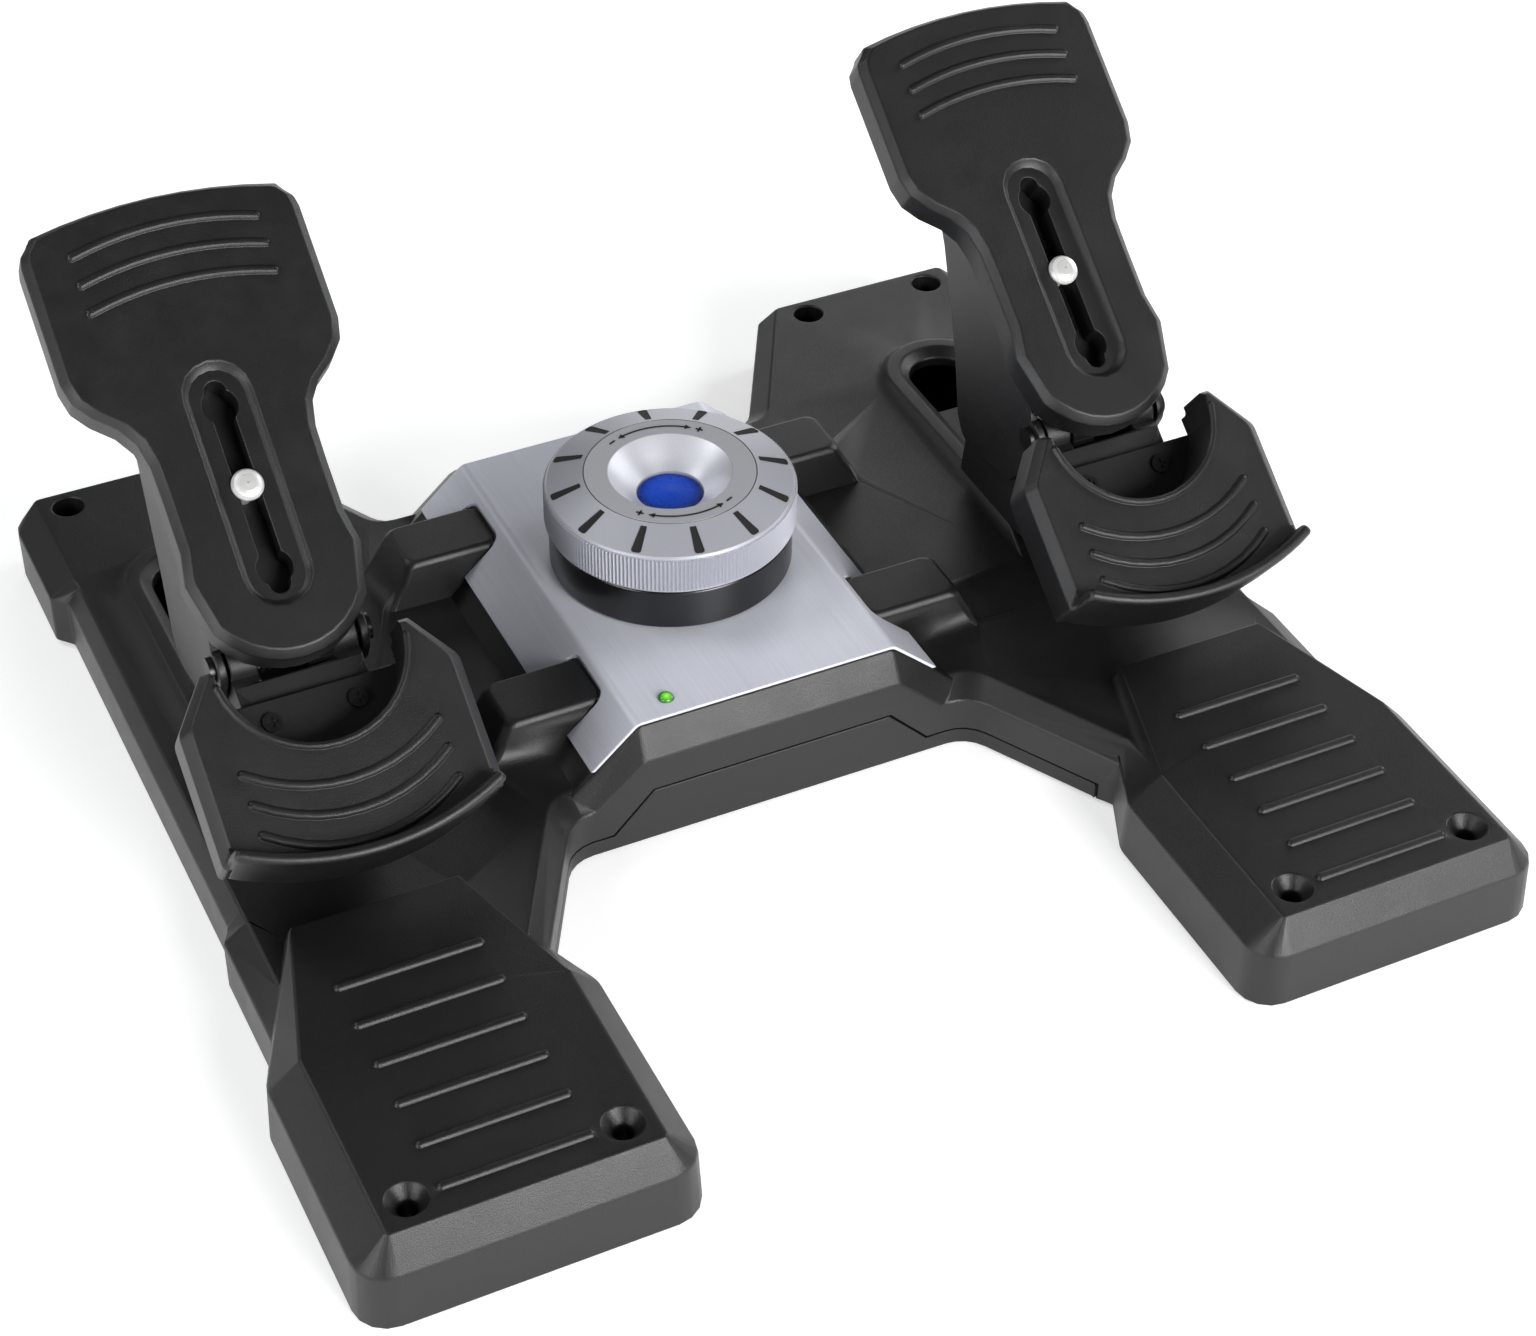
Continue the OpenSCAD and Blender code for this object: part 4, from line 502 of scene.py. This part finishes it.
# Mouldings and sheet, as copies of CAD nodes with rounded edges
def mark_outer_edges(mesh):
    """Gives each edge that stands out and turns enough a full bevel weight.

    A short one that starts in a hollow corner, as at the foot of a rib's end, stays sharp.
    """
    beside = {}
    for face in mesh.polygons:
        for key in face.edge_keys:
            beside.setdefault(key, []).append(face)
    outer, hollow = [], set()
    for edge in mesh.edges:
        faces = beside.get(edge.key, ())
        if len(faces) == 2:
            a, b = faces
            if math.degrees(a.normal.angle(b.normal, 0.0)) > EDGE_TURN:
                if (b.center - a.center).dot(a.normal) < 0:
                    outer.append(edge)
                else:
                    hollow.update(edge.vertices)
    weight = mesh.attributes.new("bevel_weight_edge", "FLOAT", "EDGE")
    for edge in outer:
        start, end = (mesh.vertices[i].co for i in edge.vertices)
        if (end - start).length > SHORT_EDGE * MM or not hollow.intersection(edge.vertices):
            weight.data[edge.index].value = 1.0


def keep_planes_flat(mesh):
    """Gives the corners of every large plane the plane's own normal."""
    planes = {}
    for face in mesh.polygons:
        n = face.normal
        level = round(face.center.dot(n) / (PLANE_STEP * MM))
        key = (round(n.x, 2), round(n.y, 2), round(n.z, 2), level)
        planes.setdefault(key, []).append(face)
    normals = [corner.vector.copy() for corner in mesh.corner_normals]
    for faces in planes.values():
        if sum(face.area for face in faces) > PLANE_LEAST:
            for face in faces:
                for corner in face.loop_indices:
                    normals[corner] = face.normal.copy()
    mesh.normals_split_custom_set(normals)


def softened(node, name, width, segments=2, planes=False):
    """A copy of a CAD node's mesh, merged, with its outer edges rounded as a moulding's are."""
    piece = in_scene(name, frame["nodes"][node].data.copy())
    piece.data.name = name
    only(piece)
    edit(bpy.ops.mesh.select_all, action="SELECT")
    edit(bpy.ops.mesh.remove_doubles, threshold=MERGE_GAP * MM)
    mark_outer_edges(piece.data)
    modify("BEVEL", width=width * MM, segments=segments, limit_method="WEIGHT", miter_outer="MITER_ARC",
           use_clamp_overlap=False, loop_slide=False)
    bpy.ops.object.shade_smooth_by_angle(angle=math.radians(SMOOTH_TURN))
    modify("WEIGHTED_NORMAL", keep_sharp=True)
    if planes:
        keep_planes_flat(piece.data)
    piece.data.materials.clear()
    piece.data.materials.append(MATS[SLOT_OF[node]])
    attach(piece, BODY_OF[node])
    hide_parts(node)


softened("top_shell", "shell_moulding", width=0.8, segments=3)
softened("bottom_tray", "tray_moulding", width=0.5)
softened("silver_cover", "cover_sheet", width=0.25)
softened("knob_collar", "collar_moulding", width=0.4)
for side in ("left", "right"):
    softened(side + "_toe_plate", side + "_toe_moulding", width=0.6, planes=True)
    softened(side + "_heel_cup", side + "_cup_moulding", width=0.6, planes=True)
    softened(side + "_brake_lever", side + "_lever_moulding", width=0.6)
    softened(side + "_pedestal", side + "_pedestal_moulding", width=0.8)


# The tension knob
def drum(radius, bottom, top, sides, ends="NGON"):
    """A cylinder about the knob's axis."""
    bpy.ops.object.select_all(action="DESELECT")
    bpy.ops.mesh.primitive_cylinder_add(vertices=sides, radius=radius * MM, depth=top - bottom,
                                        location=(knob_axis.x, knob_axis.y, (bottom + top) / 2),
                                        end_fill_type=ends)
    return bpy.context.object


def knob_face():
    """The knob's body, whose top is inset step by step: cone, scribed groove, ring, dish and cap well."""
    body = drum(VALLEY_R, knob_low, knob_top + EDGE_UP * MM, KNOB_SIDES)
    pick(body.data, faces_up)
    slopes = [((DISH_R - CAP_R) * wide, -DISH_DEEP * deep) for wide, deep in DISH_SLOPES]
    steps = [(VALLEY_R - EDGE_R, SHOULDER_UP - EDGE_UP), (EDGE_R - RING_R, CONE_UP - SHOULDER_UP),
             (GROOVE_SIDE, -GROOVE_DEEP), (GROOVE_FLOOR, 0.0), (GROOVE_SIDE, GROOVE_DEEP),
             (RING_R - GROOVE_WIDE - DISH_R, 0.0), (DISH_EDGE_WIDE, -DISH_EDGE_DEEP), *slopes,
             (WELL_WIDE, -WELL_DEEP)]
    for inward, up in steps:
        edit(bpy.ops.mesh.inset, thickness=inward * MM, depth=up * MM)
    return body


def toothed_rim():
    """A thin wall round the knob, with every other upright line of it drawn in to make fine teeth."""
    bottom, top = knob_low + TEETH_FROM_FOOT * MM, knob_top + (EDGE_UP - TEETH_FROM_EDGE) * MM
    rim = drum(KNOB_R, bottom, top, 2 * TEETH, "NOTHING")
    pick(rim.data, lambda v: round(math.atan2(v.co.y, v.co.x) * TEETH / math.pi) % 2 == 1, "vertices")
    edit(bpy.ops.transform.resize, value=(VALLEY_R / KNOB_R, VALLEY_R / KNOB_R, 1.0))
    modify("SOLIDIFY", thickness=TEETH_WALL * MM, offset=-1.0)
    return rim


def wedge():
    """One mark of the knob's scale at its +x side, let into the cone.

    It is a bar, narrowed at its inner end, with rounded outer corners and a slightly sunk top.
    """
    slope = math.atan2(CONE_UP - SHOULDER_UP, EDGE_R - RING_R)
    length = (MARK_OUT - MARK_IN) / math.cos(slope)
    middle = (MARK_IN + MARK_OUT) / 2
    surface = SHOULDER_UP + (EDGE_R - middle) * math.tan(slope)
    bpy.ops.object.select_all(action="DESELECT")
    bpy.ops.mesh.primitive_cube_add(size=1.0)
    bar = bpy.context.object
    mesh = bar.data

    def is_outer_corner(edge):
        start, end = (mesh.vertices[i].co for i in edge.vertices)
        return min(start.x, end.x) > 0 and abs(start.y - end.y) < LEVEL

    edit(bpy.ops.transform.resize, value=(length * MM, 2 * MARK_HALF_OUT * MM, MARK_DEEP * MM))
    pick(mesh, lambda face: face.normal.x < -FACING)
    edit(bpy.ops.transform.resize, value=(1.0, MARK_HALF_IN / MARK_HALF_OUT, 1.0))
    pick(mesh, is_outer_corner, "edges")
    edit(bpy.ops.mesh.bevel, offset=MARK_CORNER * MM, segments=4, affect="EDGES")
    pick(mesh, faces_up)
    edit(bpy.ops.mesh.inset, thickness=MARK_BORDER * MM)
    edit(bpy.ops.mesh.inset, thickness=MARK_STEP * MM, depth=-MARK_SUNK * MM)
    mesh.transform(Matrix.Translation((0.0, 0.0, (MARK_PROUD - MARK_DEEP / 2) * MM)))
    place = (knob_axis.x + middle * MM, knob_axis.y, knob_top + surface * MM)
    mesh.transform(Matrix.Translation(place) @ Matrix.Rotation(slope, 4, "Y"))
    return bar


def ring_spot(degrees):
    """The place of a piece of the sign on the knob's ring, turned from +x by so many degrees."""
    out = Matrix.Rotation(math.radians(degrees), 3, "Z") @ Vector((SIGN_R * MM, 0.0, 0.0))
    return out + knob_axis + Vector((0.0, 0.0, knob_top + (CONE_UP + MARK_PROUD - SIGN_DEEP / 2) * MM))


def sign_curve():
    """The curved line of the sign, swept about the knob's axis."""
    bpy.ops.object.select_all(action="DESELECT")
    bpy.ops.mesh.primitive_plane_add(size=1.0, location=ring_spot(-SIGN_HALF),
                                     rotation=(math.pi / 2, 0, math.radians(-SIGN_HALF)))
    curve = bpy.context.object
    curve.scale = (SIGN_WIDE * MM, SIGN_DEEP * MM, 1.0)
    bpy.ops.object.transform_apply(location=True, rotation=True, scale=True)
    edit(bpy.ops.mesh.spin, steps=SIGN_STEPS, angle=math.radians(2 * SIGN_HALF), center=knob_axis,
         axis=(0, 0, -1))
    return curve


def sign_stroke(degrees, across, along):
    """A straight stroke of the sign, across the ring and along it."""
    bpy.ops.mesh.primitive_cube_add(size=1.0, location=ring_spot(degrees),
                                    rotation=(0, 0, math.radians(degrees)))
    stroke = bpy.context.object
    stroke.scale = (across * MM, along * MM, SIGN_DEEP * MM)
    return stroke


def sign_head(side):
    """The three-cornered head at one end of the sign's curve, pointing away from it."""
    bpy.ops.mesh.primitive_cylinder_add(vertices=3, radius=SIGN_HEAD * MM, depth=SIGN_DEEP * MM,
                                        location=ring_spot(side * SIGN_HALF),
                                        rotation=(0, 0, math.radians(side * SIGN_HALF + 90 - 90 * side)))
    return bpy.context.object


def turning_sign():
    """The sign for less and more at the knob's +x side, on the ring between dish and cone.

    It is a curved line with a head at both ends, with a minus past one head and a plus past the other.
    """
    past = SIGN_HALF + SIGN_PAST
    curve = sign_curve()
    minus = sign_stroke(past, SIGN_WIDE, SIGN_LONG)
    plus = [sign_stroke(-past, SIGN_WIDE, SIGN_LONG), sign_stroke(-past, SIGN_LONG, SIGN_WIDE)]
    heads = [sign_head(1), sign_head(-1)]
    joined(curve, [minus, *plus, *heads])
    edit(bpy.ops.mesh.select_all, action="SELECT")
    edit(bpy.ops.mesh.normals_make_consistent, inside=False)
    return curve


def round_the_knob(piece, place, name):
    """A black copy of a mark or sign at one of the places round the knob, with its own mesh."""
    copy = in_scene(name, piece.data.copy())
    turn = Matrix.Rotation(2 * math.pi * (place + MARK_SHIFT) / MARKS, 4, "Z")
    copy.data.transform(Matrix.Translation(knob_axis) @ turn @ Matrix.Translation(-knob_axis))
    finish(copy, name, "knob", "black_gloss", paint=mark_black)


low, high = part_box("tension_knob")
knob_axis = Vector((*middle_of((low, high)), 0.0))
knob_low, knob_top = low[2], high[2]

body = joined(knob_face(), [toothed_rim()])
finish(body, "knob_turning", "knob", "silver_plastic", smooth=24.0)
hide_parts("tension_knob")

inlay = wedge()
for place in range(MARKS):
    round_the_knob(inlay, place, "knob_mark_%02d" % (place + 1))
bpy.data.objects.remove(inlay)

sign = turning_sign()
for place, name in SIGN_PLACES:
    round_the_knob(sign, place, name)
bpy.data.objects.remove(sign)


# Camera, floor, world and lamps
def photo_camera():
    """A camera at the photograph's viewpoint, with its lens and its shift."""
    turn, drop, roll = (math.radians(angle) for angle in (CAMERA_TURN, CAMERA_DROP, CAMERA_ROLL))
    ahead = Vector((math.sin(turn) * math.cos(drop), math.cos(turn) * math.cos(drop), -math.sin(drop)))
    level = Vector((math.cos(turn), -math.sin(turn), 0.0))
    above = level.cross(ahead)
    right = level * math.cos(roll) + above * math.sin(roll)
    up = -level * math.sin(roll) + above * math.cos(roll)
    data = bpy.data.cameras.new("Camera")
    data.sensor_width = SENSOR
    data.lens = FOCAL / PHOTO_WIDE * SENSOR
    data.shift_x = (PHOTO_WIDE / 2 - CENTRE_X) / PHOTO_WIDE
    data.shift_y = (CENTRE_Y - PHOTO_HIGH / 2) / PHOTO_WIDE
    data.clip_start, data.clip_end = NEAR, FAR
    camera = in_scene("Camera", data)
    camera.matrix_world = Matrix.Translation(CAMERA_AT) @ Matrix((right, up, -ahead)).transposed().to_4x4()
    bpy.context.scene.camera = camera


def pale_floor():
    """A wide pale floor, which looks white to the camera far away."""
    bpy.ops.mesh.primitive_plane_add(size=FLOOR_WIDE, location=(0, 0, -FLOOR_DROP))
    floor = bpy.context.object
    floor.name = "floor"
    m = Mat("floor", (0.86, 0.86, 0.86), rough=0.9)
    m.set("Base Color", m.mix(m.ramp(m.noise(2.0), 0.3, 0.8), (0.85, 0.85, 0.85), (0.88, 0.88, 0.88)))
    seen = m.node("LightPath", {}, {}, "Is Camera Ray") + m.node("LightPath", {}, {}, "Is Glossy Ray")
    m.set("Emission Color", (*WHITE, 1.0))
    m.set("Emission Strength", seen * (0.45 + 0.5 * m.ramp(m.radius(0, 0), FLOOR_NEAR, FLOOR_FAR)))
    floor.data.materials.append(m.mat)


def pale_world():
    """A weak cool light from all round, which the camera sees as white."""
    world = bpy.data.worlds.new("World")
    bpy.context.scene.world = world
    sky = Shader(world, "Background")
    sky.set("Color", (0.95, 0.97, 1.0, 1.0))
    sky.set("Strength", 0.10 + 0.95 * sky.node("LightPath", {}, {}, "Is Camera Ray"))


def studio_lamp(name, place, aim, size, watts, color):
    """A round soft lamp that faces a point of the object."""
    data = bpy.data.lights.new(name, "AREA")
    data.shape, data.size, data.energy, data.color = "DISK", size, watts, color
    lamp = in_scene(name, data)
    lamp.location = place
    lamp.rotation_euler = (Vector(aim) - Vector(place)).to_track_quat("-Z", "Y").to_euler()


photo_camera()
pale_floor()
pale_world()
for row in LAMPS:
    studio_lamp(*row)
bpy.context.scene.view_settings.view_transform = "Standard"

bpy.context.view_layer.update()
